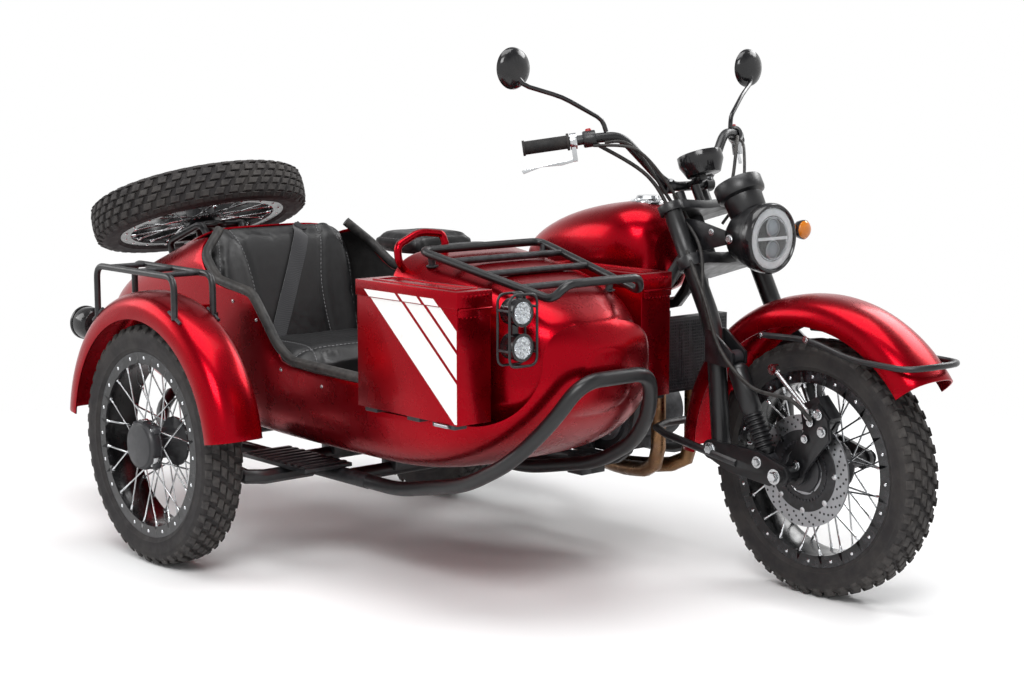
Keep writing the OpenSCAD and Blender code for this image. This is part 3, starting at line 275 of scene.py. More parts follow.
def bolt(place, axis, radius=6.0, height=5.0, sides=6):
    """A bolt head with a washer and a chamfer, standing on a surface."""
    matrix = turned(place, axis)
    washer = lathe("bolt", [(0, 0), (radius * 1.45, 0), (radius * 1.45, 1.2), (radius, 1.4)], matrix, 20)
    head = lathe("bolt", [(radius * 0.9, 1), (radius, height * 0.7), (radius * 0.86, height), (0, height)], matrix, sides)
    return [washer, head]


# Camera, floor and light
PHOTO_W = 1024
FOCAL_PX = 1930.7
CAMERA_AT = (4534, -3596, 1284)
CAMERA_YAW = 139.14
CAMERA_PITCH = -8.12
SENSOR = 36.0


def add_camera():
    data = bpy.data.cameras.new("camera")
    data.sensor_width = SENSOR
    data.sensor_fit = "HORIZONTAL"
    data.lens = FOCAL_PX / PHOTO_W * SENSOR
    data.clip_end = 100
    camera = bpy.data.objects.new("camera", data)
    bpy.context.scene.collection.objects.link(camera)
    camera.location = at(*CAMERA_AT)
    camera.rotation_euler = (math.radians(90 + CAMERA_PITCH), 0, math.radians(CAMERA_YAW - 90))
    bpy.context.scene.camera = camera


def add_light(name, place, target, size, power):
    data = bpy.data.lights.new(name, "AREA")
    data.shape = "RECTANGLE"
    data.size, data.size_y = size
    data.energy = power
    light = bpy.data.objects.new(name, data)
    bpy.context.scene.collection.objects.link(light)
    light.location = place
    light.rotation_euler = (Vector(target) - Vector(place)).to_track_quat("-Z", "Y").to_euler()


def seen_directly(tree):
    """1 where the camera, a reflection or a clear lens looks at a surface, and 0 for light that falls on the object."""
    path = tree.nodes.new("ShaderNodeLightPath")
    total = path.outputs["Is Camera Ray"]
    for ray in ("Is Glossy Ray", "Is Transmission Ray"):
        node = tree.nodes.new("ShaderNodeMath")
        node.operation = "MAXIMUM"
        tree.links.new(total, node.inputs[0])
        tree.links.new(path.outputs[ray], node.inputs[1])
        total = node.outputs[0]
    return total


def add_world():
    """A white studio with a grey ceiling, so that gloss shows form."""
    world = bpy.data.worlds.new("studio")
    bpy.context.scene.world = world
    world.use_nodes = True
    tree = world.node_tree
    background = tree.nodes["Background"]
    direction = tree.nodes.new("ShaderNodeTexCoord").outputs["Generated"]
    split = tree.nodes.new("ShaderNodeSeparateXYZ")
    tree.links.new(direction, split.inputs[0])
    ramp = tree.nodes.new("ShaderNodeValToRGB")
    ramp.color_ramp.elements[0].position = 0.3
    ramp.color_ramp.elements[0].color = (1, 1, 1, 1)
    ramp.color_ramp.elements[1].position = 0.62
    ramp.color_ramp.elements[1].color = (0.34, 0.34, 0.35, 1)
    tree.links.new(split.outputs["Z"], ramp.inputs["Fac"])
    tree.links.new(ramp.outputs["Color"], background.inputs["Color"])
    strength = tree.nodes.new("ShaderNodeMapRange")
    strength.inputs["To Min"].default_value = 0.62
    strength.inputs["To Max"].default_value = 1.0
    tree.links.new(seen_directly(tree), strength.inputs["Value"])
    tree.links.new(strength.outputs["Result"], background.inputs["Strength"])


def add_floor():
    """A pale floor whose far edge fades into the backdrop."""
    half = 6.0
    floor = mesh_object("floor", [(-half, -half, 0), (half, -half, 0), (half, half, 0), (-half, half, 0)], [(0, 1, 2, 3)])
    f = Finish("pale_floor", (0.96, 0.96, 0.96, 1), 0.7, Specular_IOR_Level=0.1)
    f.tint(f.ramp(f.noise(1.4, 4), 0.4, 0.7, 0, 0.2), (0.94, 0.94, 0.938, 1))
    f.bump(f.noise(60, 3), 0.04, 1.0)
    reach = f.node("ShaderNodeVectorMath", operation="LENGTH")
    f.link(f.place(), reach.inputs[0])
    clear = f.node("ShaderNodeBsdfTransparent")
    mix = f.node("ShaderNodeMixShader")
    f.link(f.ramp(reach.outputs["Value"], 1.4, 2.7), mix.inputs["Fac"])
    f.link(f.shader.outputs["BSDF"], mix.inputs[1])
    f.link(clear.outputs["BSDF"], mix.inputs[2])
    f.link(mix.outputs["Shader"], f.tree.nodes["Material Output"].inputs["Surface"])
    floor.data.materials.append(f.material)


def add_studio():
    bpy.context.scene.view_settings.view_transform = "Standard"
    add_camera()
    add_world()
    add_floor()
    centre = Vector((0, 0, 0.5))
    add_light("key", Vector((3.2, -3.4, 4.4)), centre, (3.0, 2.0), 210)
    add_light("fill", Vector((-3.6, -3.0, 2.6)), centre, (2.6, 2.2), 70)
    add_light("rim", Vector((0.5, 4.2, 3.6)), centre, (3.4, 1.6), 120)
    add_light("top", Vector((0.2, -0.2, 4.8)), centre, (3.6, 3.0), 150)


# Materials

def srgb(code):
    """A colour written as a hex code, as Blender's linear values."""
    values = [int(code[i:i + 2], 16) / 255 for i in (1, 3, 5)]
    return tuple(v / 12.92 if v <= 0.04045 else ((v + 0.055) / 1.055) ** 2.4 for v in values) + (1.0,)


class Finish:
    """A material with its shader, and short ways to add noise to colour, roughness and bump."""

    def __init__(self, name, colour, rough, metal=0.0, **sockets):
        self.material = bpy.data.materials.new(name)
        self.material.use_nodes = True
        self.tree = self.material.node_tree
        self.shader = self.tree.nodes["Principled BSDF"]
        self.colour = colour
        self.shader.inputs["Base Color"].default_value = colour
        self.shader.inputs["Roughness"].default_value = rough
        self.shader.inputs["Metallic"].default_value = metal
        for socket, value in sockets.items():
            self.shader.inputs[socket.replace("_", " ")].default_value = value
        self.bump_out = None

    def node(self, kind, **values):
        node = self.tree.nodes.new(kind)
        for key, value in values.items():
            if key in node.inputs:
                node.inputs[key].default_value = value
            else:
                setattr(node, key, value)
        return node

    def link(self, a, b):
        self.tree.links.new(a, b)

    def place(self):
        """The mesh's own coordinates, in metres."""
        return self.node("ShaderNodeTexCoord").outputs["Object"]

    def noise(self, scale, detail=4.0, rough=0.55, stretch=None):
        texture = self.node("ShaderNodeTexNoise", Scale=scale, Detail=detail, Roughness=rough)
        if stretch:
            mapping = self.node("ShaderNodeMapping")
            mapping.inputs["Scale"].default_value = stretch
            self.link(self.place(), mapping.inputs["Vector"])
            self.link(mapping.outputs["Vector"], texture.inputs["Vector"])
        else:
            self.link(self.place(), texture.inputs["Vector"])
        return texture.outputs["Fac"]

    def cells(self, scale, feature="F1"):
        texture = self.node("ShaderNodeTexVoronoi", Scale=scale)
        texture.feature = feature
        self.link(self.place(), texture.inputs["Vector"])
        return texture.outputs["Distance"]

    def ramp(self, value, low, high, to_low=0.0, to_high=1.0):
        node = self.node("ShaderNodeMapRange", clamp=True)
        for socket, number in zip(("From Min", "From Max", "To Min", "To Max"), (low, high, to_low, to_high)):
            node.inputs[socket].default_value = number
        self.link(value, node.inputs["Value"])
        return node.outputs["Result"]

    def edges(self, low=0.52, high=0.6):
        """Bright where an edge stands out, for wear."""
        return self.ramp(self.node("ShaderNodeNewGeometry").outputs["Pointiness"], low, high)

    def times(self, a, b):
        node = self.node("ShaderNodeMath", operation="MULTIPLY")
        self.link(a, node.inputs[0])
        if hasattr(b, "is_output"):
            self.link(b, node.inputs[1])
        else:
            node.inputs[1].default_value = b
        return node.outputs[0]

    def tint(self, factor, colour):
        """Mixes another colour over the base by a factor."""
        node = self.node("ShaderNodeMix", data_type="RGBA")
        self.link(factor, node.inputs[0])
        base = self.shader.inputs["Base Color"]
        if base.is_linked:
            self.link(base.links[0].from_socket, node.inputs[6])
        else:
            node.inputs[6].default_value = self.colour
        node.inputs[7].default_value = colour
        self.link(node.outputs[2], base)
        return self

    def roughen(self, value, low, high, to_low, to_high):
        self.link(self.ramp(value, low, high, to_low, to_high), self.shader.inputs["Roughness"])
        return self

    def bump(self, height, strength, distance):
        node = self.node("ShaderNodeBump", Strength=strength)
        node.inputs["Distance"].default_value = distance * MM
        self.link(height, node.inputs["Height"])
        if self.bump_out:
            self.link(self.bump_out, node.inputs["Normal"])
        self.bump_out = node.outputs["Normal"]
        self.link(self.bump_out, self.shader.inputs["Normal"])
        return self


def candy_paint(name, code, deep):
    """Deep clear-coated paint: metal flake under red lacquer, with slow change of shade and a fine orange peel."""
    f = Finish(name, srgb(code), 0.3, 0.86, Coat_Weight=0.05, Coat_Roughness=0.03, Specular_IOR_Level=0.05)
    f.tint(f.ramp(f.noise(3.2, 3), 0.4, 0.75, 0, 0.35), srgb(deep))
    f.tint(f.ramp(f.cells(1400), 0.0, 0.5, 0.12, 0.0), srgb("#a8081a"))
    f.roughen(f.noise(24, 4), 0.3, 0.75, 0.25, 0.31)
    f.bump(f.noise(420, 2), 0.015, 0.1)
    return f.material


def gloss_paint(name, code, deep):
    """Plain gloss paint: slow change of shade and a fine orange peel."""
    f = Finish(name, srgb(code), 0.3, Coat_Weight=0.3, Coat_Roughness=0.06)
    f.tint(f.ramp(f.noise(6, 3), 0.35, 0.75, 0, 0.5), srgb(deep))
    f.roughen(f.noise(24, 4), 0.3, 0.75, 0.25, 0.38)
    f.bump(f.noise(420, 2), 0.05, 0.2)
    return f.material


def powder_coat(name, code, rough=0.36):
    """Black coating with a fine pebble, greyed a little on its edges."""
    f = Finish(name, srgb(code), rough, Specular_IOR_Level=0.5)
    f.tint(f.times(f.edges(0.53, 0.62), f.ramp(f.noise(60), 0.4, 0.7, 0, 0.35)), srgb("#55555a"))
    f.tint(f.ramp(f.noise(9, 5), 0.55, 0.85, 0, 0.1), srgb("#3a3835"))
    f.roughen(f.noise(45, 4), 0.3, 0.7, rough - 0.07, rough + 0.09)
    f.bump(f.noise(900, 2), 0.08, 0.25)
    return f.material


def bare_metal(name, code, rough, brushed=None, metal=1.0):
    """Metal with fine scratches, brushed along one way where the real one is."""
    f = Finish(name, srgb(code), rough, metal)
    f.tint(f.ramp(f.noise(14, 5), 0.4, 0.8, 0, 0.3), srgb("#56524c"))
    f.roughen(f.noise(90, 5, 0.6, brushed), 0.3, 0.75, max(0.03, rough - 0.08), rough + 0.14)
    f.bump(f.noise(260, 4, 0.6, brushed), 0.08, 0.12)
    return f.material


def rubber(name, code, rough=0.78):
    """Dry rubber: greyed with dust, with a fine grain."""
    f = Finish(name, srgb(code), rough, Specular_IOR_Level=0.28)
    f.tint(f.ramp(f.noise(12, 6, 0.7), 0.42, 0.8, 0, 0.5), srgb("#4b4743"))
    f.tint(f.times(f.edges(0.5, 0.58), f.ramp(f.noise(70), 0.3, 0.7, 0, 0.5)), srgb("#5a5754"))
    f.roughen(f.noise(40), 0.3, 0.7, rough - 0.1, rough + 0.1)
    f.bump(f.noise(700, 3), 0.2, 0.3)
    return f.material


def leather(name, code):
    """Smooth black hide with a pebbled grain and creases."""
    f = Finish(name, srgb(code), 0.46, Specular_IOR_Level=0.45)
    f.tint(f.ramp(f.noise(8, 5), 0.4, 0.8, 0, 0.4), srgb("#2b2a2b"))
    f.roughen(f.noise(60, 5), 0.3, 0.7, 0.36, 0.58)
    f.bump(f.cells(420, "DISTANCE_TO_EDGE"), 0.22, 0.25)
    f.bump(f.noise(55, 5, 0.6), 0.18, 0.8)
    return f.material


def webbing_cloth(name, code):
    """Woven belt: fine ribs along and across."""
    f = Finish(name, srgb(code), 0.8, Sheen_Weight=0.3)
    wave = f.node("ShaderNodeTexWave", Scale=260.0)
    wave.inputs["Distortion"].default_value = 0.6
    f.link(f.place(), wave.inputs["Vector"])
    f.tint(f.ramp(wave.outputs["Fac"], 0.2, 0.9, 0, 0.5), srgb("#3a3a3d"))
    f.bump(wave.outputs["Fac"], 0.4, 0.4)
    return f.material


def cast_metal(name, code, rough=0.55):
    """Sand-cast engine metal with a grainy skin and dark patches of oil at random places."""
    f = Finish(name, srgb(code), rough, 0.55)
    f.tint(f.ramp(f.noise(11, 6, 0.7), 0.45, 0.8, 0, 0.5), srgb("#1b1917"))
    f.tint(f.times(f.edges(), f.ramp(f.noise(80), 0.3, 0.7, 0.1, 0.6)), srgb("#85868a"))
    f.roughen(f.noise(50), 0.3, 0.7, rough - 0.12, rough + 0.12)
    f.bump(f.noise(520, 4), 0.3, 0.4)
    return f.material


def heated_pipe(name):
    """Steel headers browned by heat, with straw and blue bands."""
    f = Finish(name, srgb("#8a6a4a"), 0.3, 0.95)
    f.tint(f.ramp(f.noise(7, 4), 0.35, 0.7, 0, 0.8), srgb("#5d4031"))
    f.tint(f.ramp(f.noise(5, 3, 0.5, (1, 1, 2.5)), 0.5, 0.75, 0, 0.5), srgb("#5a5668"))
    f.roughen(f.noise(60, 5), 0.3, 0.7, 0.22, 0.46)
    f.bump(f.noise(300, 3), 0.06, 0.1)
    return f.material


def clear_lens(name, code, ribs=0.0, clear=1.0):
    """Lamp glass or plastic, with moulded ribs where wanted."""
    f = Finish(name, srgb(code), 0.06, Transmission_Weight=clear, IOR=1.45, Coat_Weight=0.4)
    f.roughen(f.noise(120, 3), 0.3, 0.7, 0.03, 0.1)
    if ribs:
        wave = f.node("ShaderNodeTexWave", Scale=ribs)
        f.link(f.place(), wave.inputs["Vector"])
        f.bump(wave.outputs["Fac"], 0.35, 0.8)
    return f.material


def plastic(name, code, rough):
    f = Finish(name, srgb(code), rough, Specular_IOR_Level=0.5)
    f.tint(f.ramp(f.noise(16, 5), 0.45, 0.8, 0, 0.2), srgb("#565250"))
    f.roughen(f.noise(70), 0.3, 0.7, max(0.04, rough - 0.08), rough + 0.1)
    f.bump(f.noise(650, 3), 0.1, 0.2)
    return f.material


def mirror_glass(name):
    f = Finish(name, srgb("#c9ced2"), 0.03, 1.0)
    f.roughen(f.noise(40), 0.4, 0.8, 0.02, 0.08)
    return f.material


RED = candy_paint("red_paint", "#970314", "#78020d")
WHITE = gloss_paint("white_stripe", "#f2f1ef", "#e6e4e1")
BLACK = powder_coat("black_frame", "#0f0f11")
DARK = powder_coat("dark_satin", "#1b1b1e", 0.46)
SILVER = bare_metal("bright_steel", "#c4c6c8", 0.2)
BRUSHED = bare_metal("brushed_steel", "#a8aaad", 0.34, (1, 30, 1))
CHROME = bare_metal("chrome", "#dfe1e4", 0.07)
CAST = cast_metal("engine_black", "#2b2b2e")
COVER = cast_metal("engine_cover", "#5c5d60", 0.42)
HEADER = heated_pipe("heated_steel")
TYRE = rubber("tyre_rubber", "#272526")
GRIP = rubber("grip_rubber", "#161617", 0.68)
HIDE = leather("black_leather", "#0f0f10")
STITCH = webbing_cloth("grey_thread", "#8e8e90")
WEBBING = webbing_cloth("belt_webbing", "#1c1c1f")
GLOSS_BLACK = plastic("gloss_black", "#121214", 0.16)
MATT_BLACK = plastic("matt_black", "#1a1a1b", 0.55)
AMBER = clear_lens("amber_lens", "#f08a12", 120, 0.3)
RED_LENS = clear_lens("red_lens", "#b31018", 140, 0.3)
GLASS = clear_lens("lamp_glass", "#f4f6f7")
MIRROR = mirror_glass("mirror_glass")
BROWN = plastic("brown_cap", "#4b2f20", 0.5)


# Sidecar body: sections along X as x, half width, low z, high z, squareness
TUB_ROWS = [
    (-572, 140, 528, 582, 2.2), (-565, 190, 505, 600, 2.6), (-520, 236, 458, 655, 3), (-400, 268, 408, 718, 3.6),
    (-200, 288, 352, 790, 4), (0, 298, 318, 850, 4.4), (300, 302, 302, 856, 4.6), (700, 302, 300, 852, 4.6),
    (900, 300, 306, 826, 4.4), (1060, 288, 336, 792, 4), (1180, 262, 388, 764, 3.6), (1260, 218, 452, 732, 3.2),
    (1305, 160, 516, 690, 2.8), (1328, 80, 566, 650, 2.4), (1332, 40, 584, 632, 2.2),
]
NOSE_ROWS = [
    (700, 236, 430, 842, 4.2), (820, 236, 430, 836, 4.2), (1000, 234, 430, 808, 4), (1120, 222, 430, 784, 3.8),
    (1200, 204, 440, 758, 3.4), (1262, 170, 462, 726, 3.1), (1306, 122, 500, 692, 2.8), (1330, 66, 552, 640, 2.4),
    (1334, 34, 576, 618, 2.2),
]
TUB_WALL = 6
COCKPIT_EDGE = [
    (-24, 900), (8, 834), (42, 768), (130, 706), (300, 684), (352, 630), (415, 560), (482, 524), (812, 516),
]
LEDGE_Z, LEDGE_TURN_X, LEDGE_TURN_R = 458, 1150, 150
SEAT_NOTCH = ((-62, -246, 600), (30, 246, 1000))
TRUNK = ((-492, -206, 560), (-112, 206, 960))
SEAM = 2.0


def section_rows(rows, steps):
    """A section table with smooth rows added between its own."""
    return [tuple(row) for row in curve_points([Vector(row) for row in rows], steps)]


def loft(name, rows, sides=72, place=by_sidecar):
    """A closed body through the sections of a table, about the sidecar's middle or another place."""
    points, faces = [], []
    for x, half, low, high, square in rows:
        power = 2 / square
        for k in range(sides):
            a = 2 * math.pi * (k + 0.5) / sides
            c, s = math.cos(a), math.sin(a)
            y = math.copysign(half * abs(c) ** power, c)
            z = (low + high) / 2 + math.copysign((high - low) / 2 * abs(s) ** power, s)
            points.append(place(x, y, z))
    for i in range(len(rows) - 1):
        for k in range(sides):
            m = (k + 1) % sides
            faces.append((i * sides + k, i * sides + m, (i + 1) * sides + m, (i + 1) * sides + k))
    faces.append(tuple(range(sides - 1, -1, -1)))
    faces.append(tuple((len(rows) - 1) * sides + k for k in range(sides)))
    obj = mesh_object(name, points, faces)
    return face_outward(obj)


def face_outward(obj):
    bm = bmesh.new()
    bm.from_mesh(obj.data)
    bmesh.ops.recalc_face_normals(bm, faces=bm.faces)
    bm.to_mesh(obj.data)
    bm.free()
    return obj


def inset(rows, by):
    last = len(rows) - 1
    shifted = []
    for i, (x, half, low, high, square) in enumerate(rows):
        end = by if i == 0 else -by if i == last else 0
        shifted.append((x + end, half - by, low + by, high - by, square))
    return shifted


def prism(name, outline, half_width):
    """A side outline of x, z pulled out to both sides of the sidecar's middle."""
    count = len(outline)
    points = [by_sidecar(x, side * half_width, z) for side in (-1, 1) for x, z in outline]
    faces = [tuple(range(count)), tuple(range(2 * count - 1, count - 1, -1))]
    faces += [(k, k + count, (k + 1) % count + count, (k + 1) % count) for k in range(count)]
    return face_outward(mesh_object(name, points, faces))


def block(name, low, high, grow=0.0):
    (x0, y0, z0), (x1, y1, z1) = low, high
    return prism_y(name, x0 - grow, x1 + grow, y0 - grow, y1 + grow, z0, z1)


def prism_y(name, x0, x1, y0, y1, z0, z1):
    points = [by_sidecar(x, y, z) for z in (z0, z1) for x, y in ((x0, y0), (x1, y0), (x1, y1), (x0, y1))]
    faces = [(0, 1, 2, 3), (4, 5, 6, 7), (0, 1, 5, 4), (1, 2, 6, 5), (2, 3, 7, 6), (3, 0, 4, 7)]
    return face_outward(mesh_object(name, points, faces))


def cut(obj, tool, operation="DIFFERENCE"):
    """A boolean of two bodies; the tool is used up and its faces keep their material."""
    modifier = obj.modifiers.new("cut", "BOOLEAN")
    modifier.operation = operation
    modifier.solver = "EXACT"
    modifier.material_mode = "TRANSFER"
    modifier.object = tool
    apply_modifiers(obj)
    mesh = tool.data
    bpy.data.objects.remove(tool)
    bpy.data.meshes.remove(mesh)
    return obj


def above_ledge(extra):
    """The space over the ledge that carries the boxes, which sweeps up round the bow."""
    front = COCKPIT_EDGE[-1][0]
    turn = LEDGE_Z + LEDGE_TURN_R
    sweep = [math.radians(-90 + 90 * k / 16) for k in range(17)]
    radius = LEDGE_TURN_R + extra
    outline = [(front, LEDGE_Z - extra)]
    outline += [(LEDGE_TURN_X + radius * math.cos(a), turn + radius * math.sin(a)) for a in sweep]
    outline += [(LEDGE_TURN_X + radius, 1100), (front, 1100)]
    return prism("over_ledge", outline, 450)


def tub_body(name, by, material):
    """The body's outside, or its inside when moved in by the wall."""
    rows = section_rows(TUB_ROWS, 5)
    nose = section_rows(NOSE_ROWS, 6)
    body = loft(name, inset(rows, by) if by else rows)
    body.data.materials.append(material)
    over = above_ledge(by)
    over.data.materials.append(material)
    cut(body, over)
    cowl = loft("cowl", inset(nose, by) if by else nose)
    cowl.data.materials.append(material)
    return cut(body, cowl, "UNION")


def make_tub():
    shell = tub_body("tub_shell", 0, RED)
    cut(shell, tub_body("tub_inside", TUB_WALL, LINING))
    edge = curve_points([Vector((x, z)) for x, z in COCKPIT_EDGE[1:]], 3)
    outline = [COCKPIT_EDGE[0]] + [tuple(p) for p in edge]
    outline += [(COCKPIT_EDGE[-1][0], 1100), (COCKPIT_EDGE[0][0], 1100)]
    for tool in (prism("cockpit", outline, 450), block("notch", *SEAT_NOTCH), block("trunk", *TRUNK, SEAM)):
        tool.data.materials.append(RED)
        cut(shell, tool)
    apply_modifiers(bevel(shell, 1.6, 2, 50))
    smooth(shell, 32)
    finish(shell, "chassis", "red_paint", replaces=["sidecar_tub", "sidecar_tail", "sidecar_deck", "sidecar_nose"])


def make_trunk_lid():
    rows = section_rows(TUB_ROWS, 5)
    lid = loft("trunk_lid_skin", rows)
    lid.data.materials.append(RED)
    under = loft("under", inset(rows, TUB_WALL))
    under.data.materials.append(LINING)
    cut(lid, under)
    box = block("trunk", *TRUNK)
    box.data.materials.append(RED)
    cut(lid, box, "INTERSECT")
    apply_modifiers(bevel(lid, 1.6, 2, 50))
    smooth(lid, 32)
    finish(lid, "trunk_lid", "red_paint", replaces=["trunk_lid"])


LINING = plastic("dark_lining", "#1d1c1c", 0.75)


# Bent tubes: the solids' own lines with rounder bends and walls

def bent(points, reach, steps=7):
    """A path whose inner corners are rounded over a length, in millimetres."""
    points = [Vector(p) for p in points]
    out = [points[0]]
    for before, p, after in zip(points, points[1:], points[2:]):
        back, on = before - p, after - p
        q = min(reach, 0.45 * back.length, 0.45 * on.length)
        a, b = p + back.normalized() * q, p + on.normalized() * q
        for k in range(steps + 1):
            t = k / steps
            out.append(a * (1 - t) ** 2 + p * 2 * t * (1 - t) + b * t * t)
    return out + [points[-1]]


def mirrored(half):
    """A path from one side to the other, from the half of it that starts in the middle."""
    return [(x, -y, z) for x, y, z in reversed(half)] + list(half)


def pipe(points, diameter, reach, place, sides=20, steps=7):
    return tube("pipe", [place(*p) for p in bent(points, reach, steps)], diameter / 2, sides)


def bar(a, b, diameter, place, sides=16):
    return tube("bar", [place(*a), place(*b)], diameter / 2, sides)


def tubes(node, parts, material):
    """Joins tubes into the piece that stands for a node."""
    for part in parts:
        part.data.materials.append(material)
    return finish(join(node + "_tubes", parts), BODY_OF[node], SLOT_OF[node], replaces=[node])


def column(rows, x, place):
    """A value of a section table at x."""
    for low, high in zip(rows, rows[1:]):
        if low[0] <= x <= high[0]:
            return low[place] + (high[place] - low[place]) * (x - low[0]) / (high[0] - low[0])
    return rows[0][place] if x < rows[0][0] else rows[-1][place]


def side_y(rows, x, z):
    """Half width of a section table at x and height z."""
    low, high, square = (column(rows, x, k) for k in (2, 3, 4))
    s = min(0.97, abs(2 * z - low - high) / (high - low))
    return column(rows, x, 1) * (1 - s ** square) ** (1 / square)


def top_z(rows, x, y):
    """Height of a section table's top at x and distance y from its middle."""
    low, high, square = (column(rows, x, k) for k in (2, 3, 4))
    s = min(0.99, abs(y) / column(rows, x, 1))
    return (low + high) / 2 + (high - low) / 2 * (1 - s ** square) ** (1 / square)


HUB_X = (middle("front_tyre") - ZERO).x / MM
SIDECAR_HUB = (middle("sidecar_tyre") - ZERO) / MM
CRASH_HALF = [(1366, 108, 572), (1318, 160, 474), (1226, 200, 376), (1080, 214, 300), (820, 212, 246), (690.3, 212, 246)]
GUARD_Y = 95.8
GUARD_HALF = [
    (HUB_X + 353, 40, 606), (HUB_X + 313, GUARD_Y, 600), (HUB_X + 155, GUARD_Y, 606), (HUB_X + 23, GUARD_Y, 640),
    (HUB_X - 127, GUARD_Y, 636),
]
BAR_X = HUB_X - 471
BAR_HALF = [(BAR_X, 70, 977), (BAR_X - 50, 190, 1108), (BAR_X - 74, 256, 1104), (BAR_X - 191, 396, 1078)]
RACK_REAR, RACK_FRONT, RACK_RAISE = Vector((882, 192, 842)), Vector((1298, 140, 756)), 36
RACK_D = 20
FENDER_CROWN, FENDER_SKIRT, FENDER_HALF = 397, 328, 74


def rack_rail(x):
    return RACK_REAR + (RACK_FRONT - RACK_REAR) * ((x - RACK_REAR.x) / (RACK_FRONT.x - RACK_REAR.x))


def make_nose_rack():
    parts = []
    for side in (-1, 1):
        loop = [(RACK_REAR.x, 0, RACK_REAR.z), RACK_REAR, RACK_FRONT, RACK_FRONT + Vector((24, -26, RACK_RAISE)),
                (RACK_FRONT.x + 24, 0, RACK_FRONT.z + RACK_RAISE)]
        parts.append(pipe([(x, side * y, z) for x, y, z in loop], RACK_D, 30, by_sidecar))
        for x in (910, 1190):
            p = rack_rail(x)
            foot = top_z(NOSE_ROWS, x, p.y - 12) - 2
            parts.append(bar((x, side * (p.y - 12), foot), (x, side * (p.y - 6), p.z), RACK_D - 2, by_sidecar))
            parts.append(lathe("foot", [(0, 0), (16, 0), (16, 3), (11, 5)], turned(by_sidecar(x, side * (p.y - 12), foot + 1.5), (0, 0, 1)), 20))
    for x in (980, 1090, 1200):
        p = rack_rail(x)
        parts.append(bar((x, -p.y, p.z), (x, p.y, p.z), RACK_D - 3, by_sidecar))
    tubes("nose_rack", parts, BLACK)


def fender_top(x, y):
    """Height of the sidecar fender's skin at x and a distance y from the wheel's plane."""
    r = FENDER_SKIRT + (FENDER_CROWN - FENDER_SKIRT) * (1 - (abs(y) / FENDER_HALF) ** 3) ** (1 / 3)
    return SIDECAR_HUB.z + math.sqrt(r * r - (x - SIDECAR_HUB.x) ** 2)


def make_fender_rack():
    z, y, parts = 764, 56, []
    for side in (-1, 1):
        loop = [(386, y, fender_top(386, y) - 3), (386, y, z), (0, y, z), (0, y, fender_top(0, y) - 3)]
        parts.append(pipe([(px, side * py, pz) for px, py, pz in loop], 17, 34, by_fender))
        for x in (386, 0):
            parts.append(bar((x - 26, side * y, fender_top(x - 26, y) + 3), (x + 26, side * y, fender_top(x + 26, y) + 3), 9, by_fender))
    for x in (60, 200, 330):
        parts.append(bar((x, -y, z), (x, y, z), 14, by_fender))
    tubes("fender_rack", parts, BLACK)


def by_fender(x, y, z):
    return at(x, SIDECAR_HUB.y + y, z)


def make_grab_handle():
    x, d = 838, 19
    right, left = top_z(NOSE_ROWS, x, 207), top_z(NOSE_ROWS, x, 80)
    hoop = [(x, -207, right - 3), (x, -224, right + 18), (x - 4, -226, 852), (x - 14, -150, 882), (x - 8, -84, 874),
            (x, -80, left + 20), (x, -80, left - 2)]
    tubes("grab_handle", [pipe(hoop, d, 26, by_sidecar)], RED)


def make_cockpit_rail():
    edge = [Vector((x, 0, z)) for x, z in COCKPIT_EDGE]
    parts = []
    for side in (-1, 1):
        line = []
        for before, p, after in zip(edge, edge[1:], edge[2:] + [None]):
            a = (p - before).normalized()
            b = (after - p).normalized() if after else a
            n = Vector((-a.z - b.z, 0, a.x + b.x)).normalized()
            q = p + n * 13 / max(0.5, n.dot(Vector((-a.z, 0, a.x))))
            line.append((q.x, side * (side_y(TUB_ROWS, p.x, p.z) - TUB_WALL / 2), q.z))
        parts.append(pipe(line, 26, 26, by_sidecar, 18, 6))
    tubes("cockpit_rail", parts, RAIL_PAD)


def make_tubes():
    make_nose_rack()
    make_fender_rack()
    make_grab_handle()
    make_cockpit_rail()
    tubes("crash_bar", [pipe(mirrored(CRASH_HALF), 36, 62, by_sidecar, 24, 9)], BLACK)
    tubes("fender_guard", [pipe(mirrored(GUARD_HALF), 15, 44, at, 16, 9)], BLACK)
    tubes("handlebar", [pipe(mirrored(BAR_HALF), 25, 44, at, 20, 9)], BLACK)


RAIL_PAD = rubber("edge_padding", "#131314", 0.52)


# Wheels: places of the four, each with its Z along the axle towards the machine's right
RIM_R = 241
RIM_HALF = 48
NIPPLE_R = RIM_R - 29
HUB_FLANGE_R, HUB_FLANGE_Y = 64, 38
SPOKES = 20
SPOKE_CROSS = 34
DISC_Y = 70
QUARTER = Matrix.Rotation(math.radians(90), 4, "X")
SPARE_TILT = 19.8
WHEEL_AT = {name: Matrix.Translation(middle(name + "_tyre")) @ QUARTER for name in ("front", "rear", "sidecar")}
WHEEL_AT["spare"] = Matrix.Translation(middle("spare_tyre")) @ Matrix.Rotation(math.radians(-SPARE_TILT), 4, "Y")

# Tyre: carcass outline as radius, half width, from the bead to the crown, and the lugs' tips over it
CARCASS = [
    (228.5, 42), (241.8, 42.4), (241.8, 48.5), (246, 51.5), (250, 53.5), (252, 55), (254, 54.2), (262, 55.3), (276, 56),
    (281, 57), (283, 56.2), (290, 55), (297, 51), (302, 43), (305.5, 30), (307, 14), (307.5, 0),
]
LUG_ROWS = [
    # middle, half width, length at the inner and outer edge, skew, places to the turn, first place, height
    (10.5, 8.5, 30, 26, 9, 46, 0.0, 7.5),
    (31, 9.0, 26, 28, 7, 46, 0.5, 7.8),
    (48.5, 5.6, 24, 22, 0, 46, 0.0, 8.0),
]


